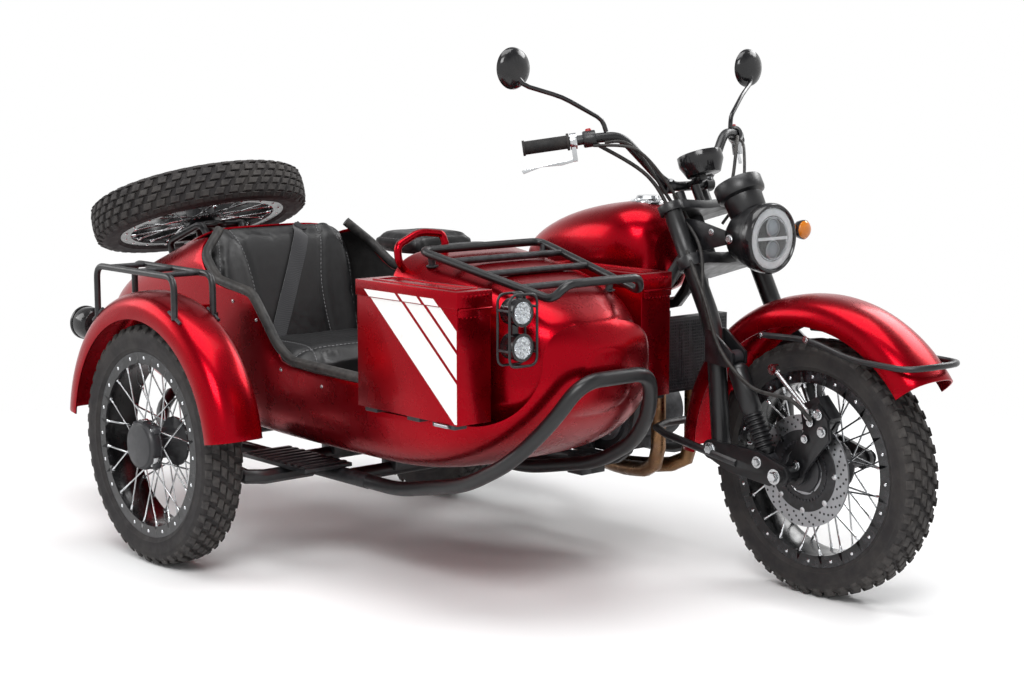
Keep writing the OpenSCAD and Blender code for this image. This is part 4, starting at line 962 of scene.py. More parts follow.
def tread_r(half):
    """Radius of the carcass at a distance from the tyre's middle."""
    for (r0, w0), (r1, w1) in zip(CARCASS[11:], CARCASS[12:]):
        if w1 <= abs(half) <= w0:
            return r1 + (r0 - r1) * (abs(half) - w1) / (w0 - w1)
    return CARCASS[-1][0]


def lug(bm, place, angle, row, side):
    """One tread block: a chamfered pad that follows the crown."""
    mid, half, inner_l, outer_l, skew, _, _, tall = row
    chamfer = 1.6
    outline = [(mid - half, -inner_l / 2), (mid + half, skew - outer_l / 2), (mid + half, skew + outer_l / 2), (mid - half, inner_l / 2)]
    centre_w = mid
    centre_s = skew / 2
    rings = []
    for lift, shrink in ((-3.0, 0.0), (tall - chamfer, 0.6), (tall, 0.6 + chamfer)):
        ring = []
        for w, s in outline:
            w2 = w - math.copysign(min(shrink, abs(w - centre_w)), w - centre_w)
            s2 = s - math.copysign(min(shrink, abs(s - centre_s)), s - centre_s)
            r = min(tread_r(w) + lift, TYRE_R - 0.05)
            a = angle + side * s2 / TYRE_R
            ring.append(bm.verts.new(place @ (Vector((r * math.cos(a), r * math.sin(a), side * w2)) * MM)))
        rings.append(ring)
    for low, high in zip(rings, rings[1:]):
        for k in range(4):
            m = (k + 1) % 4
            bm.faces.new((low[k], low[m], high[m], high[k]))
    bm.faces.new(rings[-1])


def make_tyre(name):
    place = WHEEL_AT[name]
    outline = CARCASS + [(r, -w) for r, w in reversed(CARCASS[:-1])]
    inside = [(300, -30), (300, 30)]
    carcass = lathe(name + "_carcass", outline + inside, place, 120, close=True)
    bm = bmesh.new()
    for row in LUG_ROWS:
        count, first = row[5], row[6]
        for side in (-1, 1):
            for k in range(count):
                lug(bm, place, 2 * math.pi * (k + first + (0.25 if side > 0 else 0)) / count, row, side)
    bmesh.ops.recalc_face_normals(bm, faces=bm.faces)
    lugs = smooth(bm_object(name + "_lugs", bm), 30)
    for obj in (carcass, lugs):
        obj.data.materials.append(TYRE)
    tyre = join(name + "_tyre_tread", [carcass, lugs])
    finish(tyre, BODY_OF[name + "_tyre"], "tyre", replaces=[name + "_tyre"])


def nipple_places(place):
    """Ends of every spoke at the rim, with the way that each points."""
    step = 2 * math.pi / SPOKES
    for side in (-1, 1):
        for k in range(SPOKES):
            a = k * step + (step / 2 if side > 0 else 0)
            b = a + math.radians(SPOKE_CROSS if k % 2 == 0 else -SPOKE_CROSS)
            inner = Vector(((HUB_FLANGE_R - 5) * math.cos(b), (HUB_FLANGE_R - 5) * math.sin(b), side * HUB_FLANGE_Y))
            outer = Vector(((NIPPLE_R + 2) * math.cos(a), (NIPPLE_R + 2) * math.sin(a), side * (RIM_HALF - 7)))
            yield place @ (inner * MM), place @ (outer * MM), side


def make_wheel(name):
    node = name + "_wheel"
    place = WHEEL_AT[name]
    back = place.inverted()

    def pick(face):
        p = back @ face.center / MM
        r = math.hypot(p.x, p.y)
        if name == "front" and p.z > DISC_Y - 6 and r > 50:
            return 2
        if r > NIPPLE_R - 8:
            return 0
        return 1 if r > HUB_FLANGE_R + 2 else 3

    dress(node, [RIM_BLACK, SILVER, BRUSHED, DARK], 0, 30, pick)
    parts = []
    for inner, outer, side in nipple_places(place):
        way = (outer - inner).normalized()
        profile = [(0, -17), (2.6, -17), (3.6, -14), (3.6, -5), (4.8, -4), (4.8, 1), (0, 1)]
        parts.append(lathe("nipple", profile, turned(outer, way), 10))
        head = place.to_3x3() @ Vector((0, 0, side))
        parts.append(lathe("head", [(4.2, 3.5), (4.2, 5.5), (2.5, 7), (0, 7)], turned(inner, head), 10))
    step = 2 * math.pi / SPOKES
    for side in (-1, 1):
        for k in range(SPOKES):
            spot = place @ (Vector((RIM_DOT_R * math.cos(k * step), RIM_DOT_R * math.sin(k * step), side * (RIM_HALF - 0.6))) * MM)
            parts.append(lathe("dot", [(4.6, 0), (4.4, 1.2), (2.8, 2.6), (0, 3.1)], turned(spot, place.to_3x3() @ Vector((0, 0, side))), 12))
    for part in parts:
        part.data.materials.append(CHROME)
    nipples = join(name + "_nipples", parts)
    finish(nipples, BODY_OF[node], "wire_wheel")


RIM_BLACK = powder_coat("rim_black", "#0b0b0c", 0.2)
RIM_DOT_R = 227


# Front end: lamp, dials, shocks, brake, bolts, hoses and cables
LAMP = Vector((HUB_X - 192, 0, 861))
LAMP_R = 85.5
SHOCK_LOW, SHOCK_HIGH = Vector((HUB_X - 71, 120, 337)), Vector((HUB_X - 189, 120, 575))
LINK_PIVOT = (HUB_X - 226, 346)
BRAKE_Y, PLATE_Y = -70, -102.5


def spun(profile, place, axis, material, steps=48, angle=40):
    part = lathe("turned", profile, turned(place, axis), steps)
    part.data.materials.append(material)
    return smooth(part, angle)


def line(points, radius, material, steps=10, sides=10):
    """A hose or cable through points in the drawing."""
    path = curve_points([Vector(p) for p in points], steps)
    part = tube("line", [at(*p) for p in path], radius, sides)
    part.data.materials.append(material)
    return part


def bolts(name, spots, body, material=None):
    """Bolt heads at (x, y, z, axis, radius) in the drawing."""
    parts = []
    for x, y, z, axis, radius in spots:
        parts += bolt(at(x, y, z), axis, radius, radius * 0.85)
    for part in parts:
        part.data.materials.append(material or SILVER)
    finish(join(name, parts), body, None)


def make_headlamp():
    dress("headlamp", BLACK, 0.8)
    face = at(LAMP.x + 6, 0, LAMP.z)
    ahead = (1, 0, 0)
    r = LAMP_R
    inside = [
        spun([(r - 3, -16), (r + 1.5, -14), (r + 2.6, -4), (r + 2.4, 6), (r - 1, 12), (r - 6, 12.6), (r - 9, 9), (r - 9.5, 1)], face, ahead, GLOSS_BLACK, 72),
        spun([(r - 9, 0.6), (r - 13, 1.2), (r - 13, 0.4), (0, 0.4)], face, ahead, GLOSS_BLACK, 64),
        spun([(r - 10, 1), (r - 11, 5), (r - 16, 7), (r - 24, 7), (r - 29, 5), (r - 30, 1)], face, ahead, LED, 72),
        spun([(r - 31, 1), (r - 32, 4), (r - 33, 4), (r - 36, 1)], face, ahead, CHROME, 64),
    ]
    for up in (-27, 27):
        spot = at(LAMP.x + 6, 0, LAMP.z + up)
        inside.append(spun([(24, 0), (24, 5), (21, 6), (19, 3)], spot, ahead, BRUSHED, 40))
        inside.append(spun([(19.5, 2), (17, 5), (11, 7.4), (0, 8.6)], spot, ahead, PROJECTOR, 40))
    bar_points = [at(LAMP.x + x, y, LAMP.z + z) for x in (7, 12) for y, z in ((-52, -4), (52, -4), (52, 4), (-52, 4))]
    faces = [(0, 1, 2, 3), (4, 5, 6, 7), (0, 1, 5, 4), (1, 2, 6, 5), (2, 3, 7, 6), (3, 0, 4, 7)]
    across = face_outward(mesh_object("bar", bar_points, faces))
    apply_modifiers(bevel(across, 1.5, 2))
    across.data.materials.append(LED)
    inside.append(across)
    finish(join("headlamp_inside", inside), "steering", None)
    glass = spun([(r - 8.6, 9), (r - 9, 10.4), (r * 0.62, 15), (r * 0.3, 17.4), (0, 18)], face, ahead, GLASS, 64)
    finish(join("headlamp_glass", [glass]), "steering", None)


def make_cowl():
    """Dial pod over the lamp, open to the rider, and the clock behind it."""
    lean = Vector((-0.5, 0, 0.87))
    foot = at(LAMP.x - 60, 0, LAMP.z + 50)
    pod = spun([(0, 0), (40, 2), (48, 14), (50, 52), (60, 58), (62, 64), (62, 92), (59, 96), (55, 94), (54, 70), (0, 68)], foot, lean, BLACK, 56)
    dial = spun([(53.6, 88), (52, 91), (0, 92)], foot, lean, GLASS, 48)
    hand = spun([(50, 70), (46, 72), (44, 70.5), (20, 70), (18, 71), (0, 71)], foot, lean, DARK, 48)
    finish(join("lamp_pod", [pod, hand]), "steering", None)
    finish(join("lamp_pod_glass", [dial]), "steering", None)
    lamp_bolts = [(LAMP.x - 40, side * 97, LAMP.z, (0, side, 0), 8) for side in (-1, 1)]
    lamp_bolts += [(LAMP.x - 100, side * 97, LAMP.z + 14, (0, side, 0), 6) for side in (-1, 1)]
    bolts("lamp_bolts", lamp_bolts, "steering")


def make_shocks():
    """Front springs in ribbed boots on steel rods, with eyes at both ends."""
    parts = []
    for side in (-1, 1):
        low, high = Vector((SHOCK_LOW.x, side * SHOCK_LOW.y, SHOCK_LOW.z)), Vector((SHOCK_HIGH.x, side * SHOCK_HIGH.y, SHOCK_HIGH.z))
        axis, length = high - low, (high - low).length
        boot = [(0, 14), (19, 14), (20, 18)]
        for k in range(9):
            z = 22 + 11 * k
            boot += [(25.5, z + 2), (25.5, z + 5), (20.5, z + 8), (20.5, z + 10)]
        boot += [(24, 126), (26, 130), (26, length - 34), (23, length - 26), (16, length - 18), (0, length - 16)]
        parts.append(spun(boot, at(*low), axis, BLACK, 40, 50))
        for end in (low, high):
            parts.append(spun([(6, -15), (19, -15), (19, 15), (6, 15)], at(*end), (0, 1, 0), DARK, 32))
    finish(join("front_shock_boots", parts), BODY_OF["front_shocks"], SLOT_OF["front_shocks"], replaces=["front_shocks"])


def make_brake():
    """Disc with matt black dots on its face as painted shade where its drilled holes are, a toothed ring, caliper with
    its bolts, and the torque rod.
    """
    hub = Vector((HUB_X, BRAKE_Y, TYRE_R))
    hole_shade_dots, carrier = [], []
    # Matt black dots on the disc's face: painted shade standing in for the drilled holes, which are not cut
    for row, (r, shift) in enumerate(((108, 0.0), (116, 0.33), (124, 0.66), (131, 1.0))):
        for k in range(24):
            a = 2 * math.pi * (k + shift) / 24
            spot = at(hub.x + r * math.cos(a), hub.y - 2.6, hub.z + r * math.sin(a))
            hole_shade_dots.append(spun([(0, 0), (3.1, 0), (3.1, 0.25), (0, 0.25)], spot, (0, -1, 0), MATT_BLACK, 10))
    for k in range(8):
        a = 2 * math.pi * k / 8
        spot = at(hub.x + 96 * math.cos(a), hub.y - 2, hub.z + 96 * math.sin(a))
        carrier.append(spun([(0, 0), (8, 0), (8, 2.4), (5, 3), (0, 3)], spot, (0, -1, 0), SILVER, 20))
    carrier.append(spun([(58, 1), (58, 4.6), (99, 4.6), (100, 3.6), (100, 0.2)], at(*hub), (0, -1, 0), BLACK, 64))
    for k in range(44):
        a = 2 * math.pi * k / 44
        spot = at(hub.x + 72 * math.cos(a), hub.y - 4, hub.z + 72 * math.sin(a))
        carrier.append(spun([(0, 0), (3.2, 0), (3.2, 3), (0, 3)], spot, (0, -1, 0), DARK, 6))
    carrier.append(spun([(48, 0), (50, 8), (42, 12), (26, 14), (26, 26), (0, 26)], at(hub.x, -68, hub.z), (0, -1, 0), DARK, 48))
    finish(join("disc_fittings", hole_shade_dots + carrier), "front_wheel", None)
    dress("caliper", BLACK, 1.6)
    plate = [(74, 152, 9), (86, 112, 9), (34, 88, 7), (50, 130, 7), (10, 20, 9)]
    bolts("caliper_bolts", [(hub.x + dx, PLATE_Y - 10.2, hub.z + dz, (0, -1, 0), r) for dx, dz, r in plate], "steering")
    rod = [bar((hub.x - 66, -112, 560), (hub.x + 48, -112, hub.z + 150), 12, at)]
    for end in ((hub.x - 66, -112, 560), (hub.x + 48, -112, hub.z + 150)):
        rod.append(spun([(4, -8), (13, -8), (13, 8), (4, 8)], at(*end), (0, 1, 0), SILVER, 28))
    for part in rod:
        if not part.data.materials:
            part.data.materials.append(SILVER)
    finish(join("torque_rod", rod), "steering", None)


def make_front_bolts():
    spots = []
    for side in (-1, 1):
        out = (0, side, 0)
        spots += [(HUB_X, side * 180.2, TYRE_R, out, 13), (LINK_PIVOT[0], side * 162.2, LINK_PIVOT[1], out, 12)]
        spots += [(SHOCK_LOW.x, side * 162.2, SHOCK_LOW.z, out, 10), (SHOCK_HIGH.x, side * 136, SHOCK_HIGH.z, out, 8)]
        spots += [(HUB_X + 23, side * 103.4, 640, out, 6), (HUB_X - 120, side * 103.4, 636, out, 6)]
    bolts("front_bolts", spots, "steering")


def make_lines():
    """Brake hoses, control cables and the wiring along the bars."""
    x = BAR_X
    runs = [
        ([(HUB_X + 60, -120, 452), (HUB_X + 20, -150, 500), (HUB_X - 90, -168, 520), (HUB_X - 200, -160, 600), (HUB_X - 262, -158, 730), (x + 70, -120, 900), (x + 4, -150, 1010), (x - 70, -262, 1092)], 5),
        ([(HUB_X - 240, -150, 640), (HUB_X - 268, -150, 720), (HUB_X - 320, -110, 840), (x + 40, -96, 940), (x - 20, -176, 1080), (x - 60, -236, 1094)], 4.5),
        ([(x + 30, 84, 900), (x + 34, 130, 980), (x - 10, 196, 1086), (x - 70, 262, 1094)], 4.5),
        ([(x + 60, 70, 880), (x + 62, 140, 960), (x + 6, 206, 1070), (x - 64, 258, 1088)], 4),
        ([(x + 74, -64, 890), (x + 58, -140, 1000), (x + 14, -204, 1078), (x - 66, -270, 1086)], 4),
    ]
    finish(join("hoses", [line(points, r, RUBBER_BLACK) for points, r in runs]), "steering", None)
    grip_axis = Vector(BAR_HALF[3]) - Vector(BAR_HALF[2])
    parts = []
    for side in (-1, 1):
        axis = Vector((grip_axis.x, side * grip_axis.y, grip_axis.z)).normalized()
        inner = Vector((BAR_HALF[2][0], side * BAR_HALF[2][1], BAR_HALF[2][2]))
        place = inner - axis * 2
        parts.append(spun([(14, 0), (20, 1), (21, 4), (21, 30), (19, 33), (14, 33)], at(*place), axis, BLACK, 28))
        knob = place + axis * 16 + Vector((-6, 0, 20))
        parts.append(spun([(0, -4), (8, -4), (8, 3), (6.5, 5), (0, 5)], at(*knob), (-0.3, 0, 1), SWITCH_RED, 20))
        clamp = Vector((x - 2, side * 62, 962))
        parts.append(spun([(13, -14), (19, -13), (19, 13), (13, 14)], at(x, side * 72, 979), (0, 1, 0), BLACK, 32))
        parts += [spun([(0, 0), (7, 0), (7, 6), (5, 7), (0, 7)], at(x + dx, side * 72, 992), (0, 0, 1), CHROME, 6) for dx in (-10, 10)]
    finish(join("bar_fittings", parts), "steering", None)


def make_mirror_glass():
    x, y, z = HUB_X - 651, 430, 1277
    glass = [spun([(0, 0.4), (46, 0.4), (47.4, -0.6)], at(x - 12, side * y, z), (-1, 0, 0), MIRROR, 48) for side in (-1, 1)]
    finish(join("mirror_glass", glass), "steering", None)


def make_front():
    make_headlamp()
    make_cowl()
    make_shocks()
    make_brake()
    make_front_bolts()
    make_lines()
    make_mirror_glass()


PROJECTOR = plastic("projector_lens", "#8d949a", 0.08)
RUBBER_BLACK = rubber("hose_rubber", "#101011", 0.5)
SWITCH_RED = plastic("switch_red", "#a01216", 0.35)


# Soft goods: section rows as in the solids, each along its own axis
VOXEL = 6.0
CUSHION_LOW, RIDER_LOW, PILLION_LOW = 420.3, 690.3, 730.0
CUSHION_ROWS = [
    (88, 236, CUSHION_LOW, CUSHION_LOW + 112, 4), (128, 250, CUSHION_LOW, CUSHION_LOW + 124, 4.4),
    (330, 252, CUSHION_LOW, CUSHION_LOW + 126, 4.4), (400, 248, CUSHION_LOW, CUSHION_LOW + 118, 3.8),
    (440, 226, CUSHION_LOW + 12, CUSHION_LOW + 92, 3),
]
BACK_ROWS = [
    (0, 226, -46, 14, 3.4), (60, 248, -50, 16, 4), (300, 258, -44, 14, 4), (390, 238, -36, 10, 3.4), (436, 186, -18, 4, 2.8),
]
RIDER_ROWS = [
    (96, 110, RIDER_LOW, RIDER_LOW + 62, 3.2), (150, 136, RIDER_LOW, RIDER_LOW + 76, 3.4),
    (300, 136, RIDER_LOW, RIDER_LOW + 62, 3.4), (430, 108, RIDER_LOW, RIDER_LOW + 66, 3),
    (494, 74, RIDER_LOW + 16, RIDER_LOW + 72, 2.8),
]
PILLION_ROWS = [
    (-138, 104, PILLION_LOW + 8, PILLION_LOW + 50, 3), (-110, 122, PILLION_LOW, PILLION_LOW + 60, 3.4),
    (40, 125, PILLION_LOW, PILLION_LOW + 60, 3.4), (72, 106, PILLION_LOW + 8, PILLION_LOW + 50, 3),
]
BACK_LEAN = 12
BACK_AT = Matrix.Translation(by_sidecar(40, 0, 423.4)) @ Matrix.Rotation(math.radians(-90 - BACK_LEAN), 4, "Y")
BOLSTER_Y, BOLSTER_WIDE, BOLSTER_PROUD = 198, 44, 16
BELT_W, BELT_THICK = 48, 2.6
BELT_PLACES = [(402, 78), (392, 72), (300, 30), (180, -27), (60, -84), (30, -97)]


def by_back(h, y, z):
    """A point of the seat back's own frame: up the back, across it, and out of its rear."""
    return BACK_AT @ (Vector((h, y, z)) * MM)


def inflate(obj, cap):
    """Fills a closed shape like a pad: an even skin, blown up by a short cloth run that is held to a cap."""
    remesh = obj.modifiers.new("skin", "REMESH")
    remesh.mode = "VOXEL"
    remesh.voxel_size = VOXEL * MM
    apply_modifiers(obj)
    before = [v.co.copy() for v in obj.data.vertices]
    cloth = obj.modifiers.new("cloth", "CLOTH")
    cloth.settings.use_pressure = True
    cloth.settings.uniform_pressure_force = 4
    cloth.settings.effector_weights.gravity = 0
    for step in range(1, 21):
        bpy.context.scene.frame_set(step)
    apply_modifiers(obj)
    bpy.context.scene.frame_set(1)
    for v, old in zip(obj.data.vertices, before):
        move = v.co - old
        if move.length > cap * MM:
            v.co = old + move.normalized() * cap * MM
    return obj


def skin_of(obj):
    mesh = obj.data
    return BVHTree.FromPolygons([v.co for v in mesh.vertices], [tuple(p.vertices) for p in mesh.polygons])


def on_skin(tree, points, towards):
    """Points dropped on a skin along a direction."""
    hits = [tree.ray_cast(p, towards) for p in points]
    return [hit[0] for hit in hits if hit[0]], [hit[1] for hit in hits if hit[0]]


def sew(obj, points, towards, depth=3.5, wide=9.0):
    """Pulls the skin in along a seam."""
    path, _ = on_skin(skin_of(obj), points, towards)
    tree = KDTree(len(path))
    for i, p in enumerate(path):
        tree.insert(p, i)
    tree.balance()
    for v in obj.data.vertices:
        _, _, gap = tree.find(v.co)
        if gap < 3 * wide * MM:
            v.co -= v.normal * depth * MM * math.exp(-(gap / (wide * MM)) ** 2)
    obj.data.update()


def stitches(obj, points, towards, pitch=8.0, thread=0.9):
    """Short threads along a seam, lying on the skin."""
    path, normals = on_skin(skin_of(obj), points, towards)
    places = [p + n * 0.3 * MM for p, n in zip(path, normals)]
    pieces, run, start = [], 0.0, None
    for a, b in zip(places, places[1:]):
        start = start or a
        run += (b - a).length
        if run > pitch * MM:
            end = start + (b - start) * 0.66
            verts, faces = ring_tube([start, (start + end) / 2, end], [thread * 0.6, thread, thread * 0.6], 6)
            pieces.append(smooth(mesh_object("thread", verts, faces), 60))
            run, start = 0.0, b
    for piece in pieces:
        piece.data.materials.append(STITCH)
    return pieces


def pad(node, rows, place, cap, seams, towards, shape=None, floor=None, threads=True):
    """A sewn pad in the space of its solid: seams are lists of points over its skin."""
    body = loft(node + "_pad", inset(section_rows(rows, 4), cap * 0.6), 64, place)
    if shape:
        for v in body.data.vertices:
            v.co = shape(v.co)
    inflate(body, cap)
    if floor is not None:
        for v in body.data.vertices:
            v.co.z = max(v.co.z, floor)
    dense = [curve_points(seam, 24) for seam in seams]
    for seam in dense:
        sew(body, seam, towards)
    body.data.materials.append(HIDE)
    smooth(body, 180)
    sewn = [piece for seam in dense for piece in stitches(body, seam, towards)] if threads else []
    finish(body, BODY_OF[node], SLOT_OF[node], replaces=[node])
    if sewn:
        finish(join(node + "_stitching", sewn), BODY_OF[node], SLOT_OF[node])
    return body


def bolstered(co):
    """Side bolsters that stand out from the seat back's front."""
    p = BACK_AT.inverted() @ co / MM
    if p.z < -10:
        p.z -= BOLSTER_PROUD * math.exp(-((abs(p.y) - BOLSTER_Y) / BOLSTER_WIDE) ** 2) * min(1, max(0, (440 - p.x) / 120))
    return BACK_AT @ (p * MM)


def make_belt(back):
    """Lap and shoulder webbing across the back, with a slow ripple."""
    towards = BACK_AT.to_3x3() @ Vector((0, 0, 1))
    route = curve_points([by_back(h, y, -120) for h, y in BELT_PLACES], 10)
    places, normals = on_skin(skin_of(back), route, towards)
    bm = bmesh.new()
    rows = []
    for i, (p, n) in enumerate(zip(places, normals)):
        a, b = places[max(i - 1, 0)], places[min(i + 1, len(places) - 1)]
        way = (b - a).normalized()
        out = -towards
        across = way.cross(out).normalized()
        row = []
        for k in range(7):
            s = k / 6 - 0.5
            lift = 3.2 + 0.8 * math.sin(i * 0.55 + 3 * s) + 1.2 * math.cos(math.pi * s)
            row.append(bm.verts.new(p + across * s * BELT_W * MM + out * lift * MM))
        rows.append(row)
    for low, high in zip(rows, rows[1:]):
        for k in range(6):
            bm.faces.new((low[k], low[k + 1], high[k + 1], high[k]))
    bmesh.ops.recalc_face_normals(bm, faces=bm.faces)
    belt = bm_object("belt_webbing", bm)
    solid = belt.modifiers.new("thick", "SOLIDIFY")
    solid.thickness = BELT_THICK * MM
    solid.offset = 0
    apply_modifiers(belt)
    smooth(belt, 50)
    finish(belt, BODY_OF["seat_belt"], SLOT_OF["seat_belt"], WEBBING, ["seat_belt"])


def make_seats():
    down = Vector((0, 0, -1))
    rear = BACK_AT.to_3x3() @ Vector((0, 0, 1))
    main = [(424, 150), (380, 138), (250, 114), (120, 118), (24, 140)]
    outer = [(412, 190), (330, 212), (200, 222), (60, 212)]
    seams = [[by_back(h, side * y, -160) for h, y in line] for side in (-1, 1) for line in (main, outer)]
    back = pad("seat_back", BACK_ROWS, by_back, 12, seams, rear, bolstered)
    arcs = [(104, 176), (200, 150), (320, 148), (426, 176)]
    seams = [[by_sidecar(x, side * y, 700) for x, y in arcs] for side in (-1, 1)]
    seams.append([by_sidecar(372, y, 700) for y in (-226, -80, 80, 226)])
    pad("seat_cushion", CUSHION_ROWS, by_sidecar, 12, seams, down, floor=CUSHION_LOW * MM)
    seams = [[at(x, side * y, 900) for x, y in ((104, 84), (160, 108), (300, 108), (430, 84), (484, 56))] for side in (-1, 1)]
    seams.append([at(214, y, 900) for y in (-124, -40, 40, 124)])
    pad("rider_seat", RIDER_ROWS, at, 7, seams, down, floor=RIDER_LOW * MM)
    seams = [[at(x, side * y, 900) for x, y in ((-128, 92), (-100, 106), (30, 108), (62, 94))] for side in (-1, 1)]
    seams.append([at(x, y, 900) for x, y in ((-128, -92), (-131, 0), (-128, 92))])
    pad("pillion_seat", PILLION_ROWS, at, 6, seams, down, floor=PILLION_LOW * MM)
    make_belt(back)


# Sidecar boxes: stripes, rivets and latches; screws, hinges, lamps
BOX_X, BOX_Z, BOX_FACE, LID_FACE, LID_Z = (822, 1205), (474, 780), 340, 343, 742
STRIPE_TOP, STRIPE_FRONT, STRIPE_LOW, STRIPE_SLOPE = 759, 1200, 478, 0.84
STRIPES = [(857, 975), (988, 1057), (1070, 1120)]
SPOT_X, SPOT_Y, SPOT_D, SPOT_DEPTH, SPOT_Z = 1256, -233, 62, 48, (656, 735)
TRUNK_HINGE, TRUNK_HINGE_R, TRUNK_SLOPE = (-493, 676.6), 8, 27.7


def clip_z(outline, level, above):
    """The part of an outline of x, z points above or below a level."""
    kept = []
    for a, b in zip(outline, outline[1:] + outline[:1]):
        a_in, b_in = (a[1] >= level) == above, (b[1] >= level) == above
        if a_in:
            kept.append(a)
        if a_in != b_in:
            t = (level - a[1]) / (b[1] - a[1])
            kept.append((a[0] + (b[0] - a[0]) * t, level))
    return kept


def decal(name, outline, y):
    """A thin raised panel with an x, z outline on a face that looks to the right."""
    count = len(outline)
    points = [by_sidecar(x, depth, z) for depth in (y + 0.4, y - 0.35) for x, z in outline]
    faces = [tuple(range(count)), tuple(range(count, 2 * count))]
    faces += [(k, (k + 1) % count, (k + 1) % count + count, k + count) for k in range(count)]
    obj = face_outward(mesh_object(name, points, faces))
    obj.data.materials.append(WHITE)
    return obj


def stripe_outline(start, end):
    def fall(x):
        return STRIPE_TOP - STRIPE_SLOPE * (STRIPE_FRONT - x)
    low = fall(start)
    tip = [(STRIPE_FRONT, low)]
    if low < STRIPE_LOW:
        tip = [(STRIPE_FRONT, STRIPE_LOW), (STRIPE_FRONT - (STRIPE_LOW - low) / STRIPE_SLOPE, STRIPE_LOW)]
    return [(start, STRIPE_TOP), (end, STRIPE_TOP), (STRIPE_FRONT, fall(end))] + tip


def make_stripes():
    below, above = [], []
    for start, end in STRIPES:
        outline = stripe_outline(start, end)
        above.append(decal("stripe", clip_z(outline, LID_Z + 1, True), -LID_FACE))
        below.append(decal("stripe", clip_z(outline, LID_Z - 1.5, False), -BOX_FACE))
    finish(join("box_stripes", below), "chassis", None)
    finish(join("lid_stripes", above), "right_lid", None)


def rivets(name, places, axis, radius, body, material):
    """Round heads with a small flange at places on a surface."""
    profile = [(radius, -1), (radius, 0.4), (radius * 0.72, 0.8), (radius * 0.6, radius * 0.5), (radius * 0.3, radius * 0.66), (0, radius * 0.7)]
    parts = [lathe("rivet", profile, turned(place, axis), 16) for place in places]
    for part in parts:
        part.data.materials.append(material)
        smooth(part, 40)
    finish(join(name, parts), body, None)


def box_block(low, high, material, edge=1.5):
    part = prism_y("block", low[0], high[0], low[1], high[1], low[2], high[2])
    part.data.materials.append(material)
    apply_modifiers(bevel(part, edge, 2))
    return part


def make_box_fittings(side):
    name = "left" if side > 0 else "right"
    lid = name + "_lid"
    across = [252 + 12.4 * k for k in range(7)]
    rivets(name + "_hinge_rivets", [by_sidecar(BOX_X[1] + 0.4, side * y, BOX_Z[1] - 12) for y in across], (1, 0, 0), 4.2, lid, RED)
    rivets(name + "_body_rivets", [by_sidecar(BOX_X[1] + 0.4, side * y, LID_Z - 20) for y in across], (1, 0, 0), 3.4, "chassis", RED)
    y0, y1 = sorted((side * (BOX_FACE - 40), side * (BOX_FACE - 2)))
    parts = [box_block((1108, y0, BOX_Z[0] - 11), (1188, y1, BOX_Z[0] + 0.5), DARK, 2)]
    y0, y1 = sorted((side * (BOX_FACE - 4), side * (BOX_FACE + 6)))
    parts.append(box_block((1122, y0, BOX_Z[0] - 9), (1172, y1, BOX_Z[0] - 1), BRUSHED, 2))
    for x in (836, 1000):
        y0, y1 = sorted((side * (BOX_FACE - 60), side * (BOX_FACE - 12)))
        parts.append(box_block((x, y0, BOX_Z[0] - 13), (x + 46, y1, BOX_Z[0] + 0.5), DARK, 2))
    finish(join(name + "_box_feet", parts), "chassis", None)
    y0, y1 = sorted((side * 262, side * 316))
    catch = [box_block((BOX_X[0] - 3.4, y0, LID_Z + 2), (BOX_X[0] + 1, y1, LID_Z + 24), DARK, 1.2)]
    finish(join(name + "_lid_catch", catch), lid, None)


def make_screws():
    places = [(70, 728), (218, 668), (330, 628), (440, 512), (620, 490), (790, 488)]
    for side in (-1, 1):
        spots = [by_sidecar(x, side * (side_y(TUB_ROWS, x, z) - 0.3), z) for x, z in places]
        rivets("edge_screws_" + ("l" if side > 0 else "r"), spots, (0, side, 0.1), 6.0, "chassis", SILVER)


def make_trunk_hinge():
    """Barrels and straps of the trunk's hinge on the line it turns about."""
    x, z = TRUNK_HINGE
    tilt = math.radians(TRUNK_SLOPE)
    ahead = Vector((math.cos(tilt), 0, math.sin(tilt)))
    down = Vector((math.sin(tilt), 0, -math.cos(tilt)))
    for body, start, reach in (("chassis", 116.3, -26), ("trunk_lid", 66, 40)):
        parts = []
        for side in (-1, 1):
            y0, y1 = sorted((side * start, side * (start + 50)))
            barrel = lathe("barrel", [(0, 0), (7, 0), (8, 1), (8, 49), (7, 50), (0, 50)], turned(by_sidecar(x, y0, z), (0, 1, 0)), 24)
            centre = Vector((x, 0, z))
            corners = [centre + ahead * a + down * d for a, d in ((0, 4), (reach, 4), (reach, 10), (0, 10))]
            points = [by_sidecar(c.x, y, c.z) for y in (y0, y1) for c in corners]
            faces = [(0, 1, 2, 3), (4, 5, 6, 7), (0, 1, 5, 4), (1, 2, 6, 5), (2, 3, 7, 6), (3, 0, 4, 7)]
            strap = face_outward(mesh_object("strap", points, faces))
            apply_modifiers(bevel(strap, 1.2, 2))
            for part in (barrel, strap):
                part.data.materials.append(DARK)
                parts.append(smooth(part, 40) or part)
        finish(join("trunk_hinge_" + body, parts), body, None)


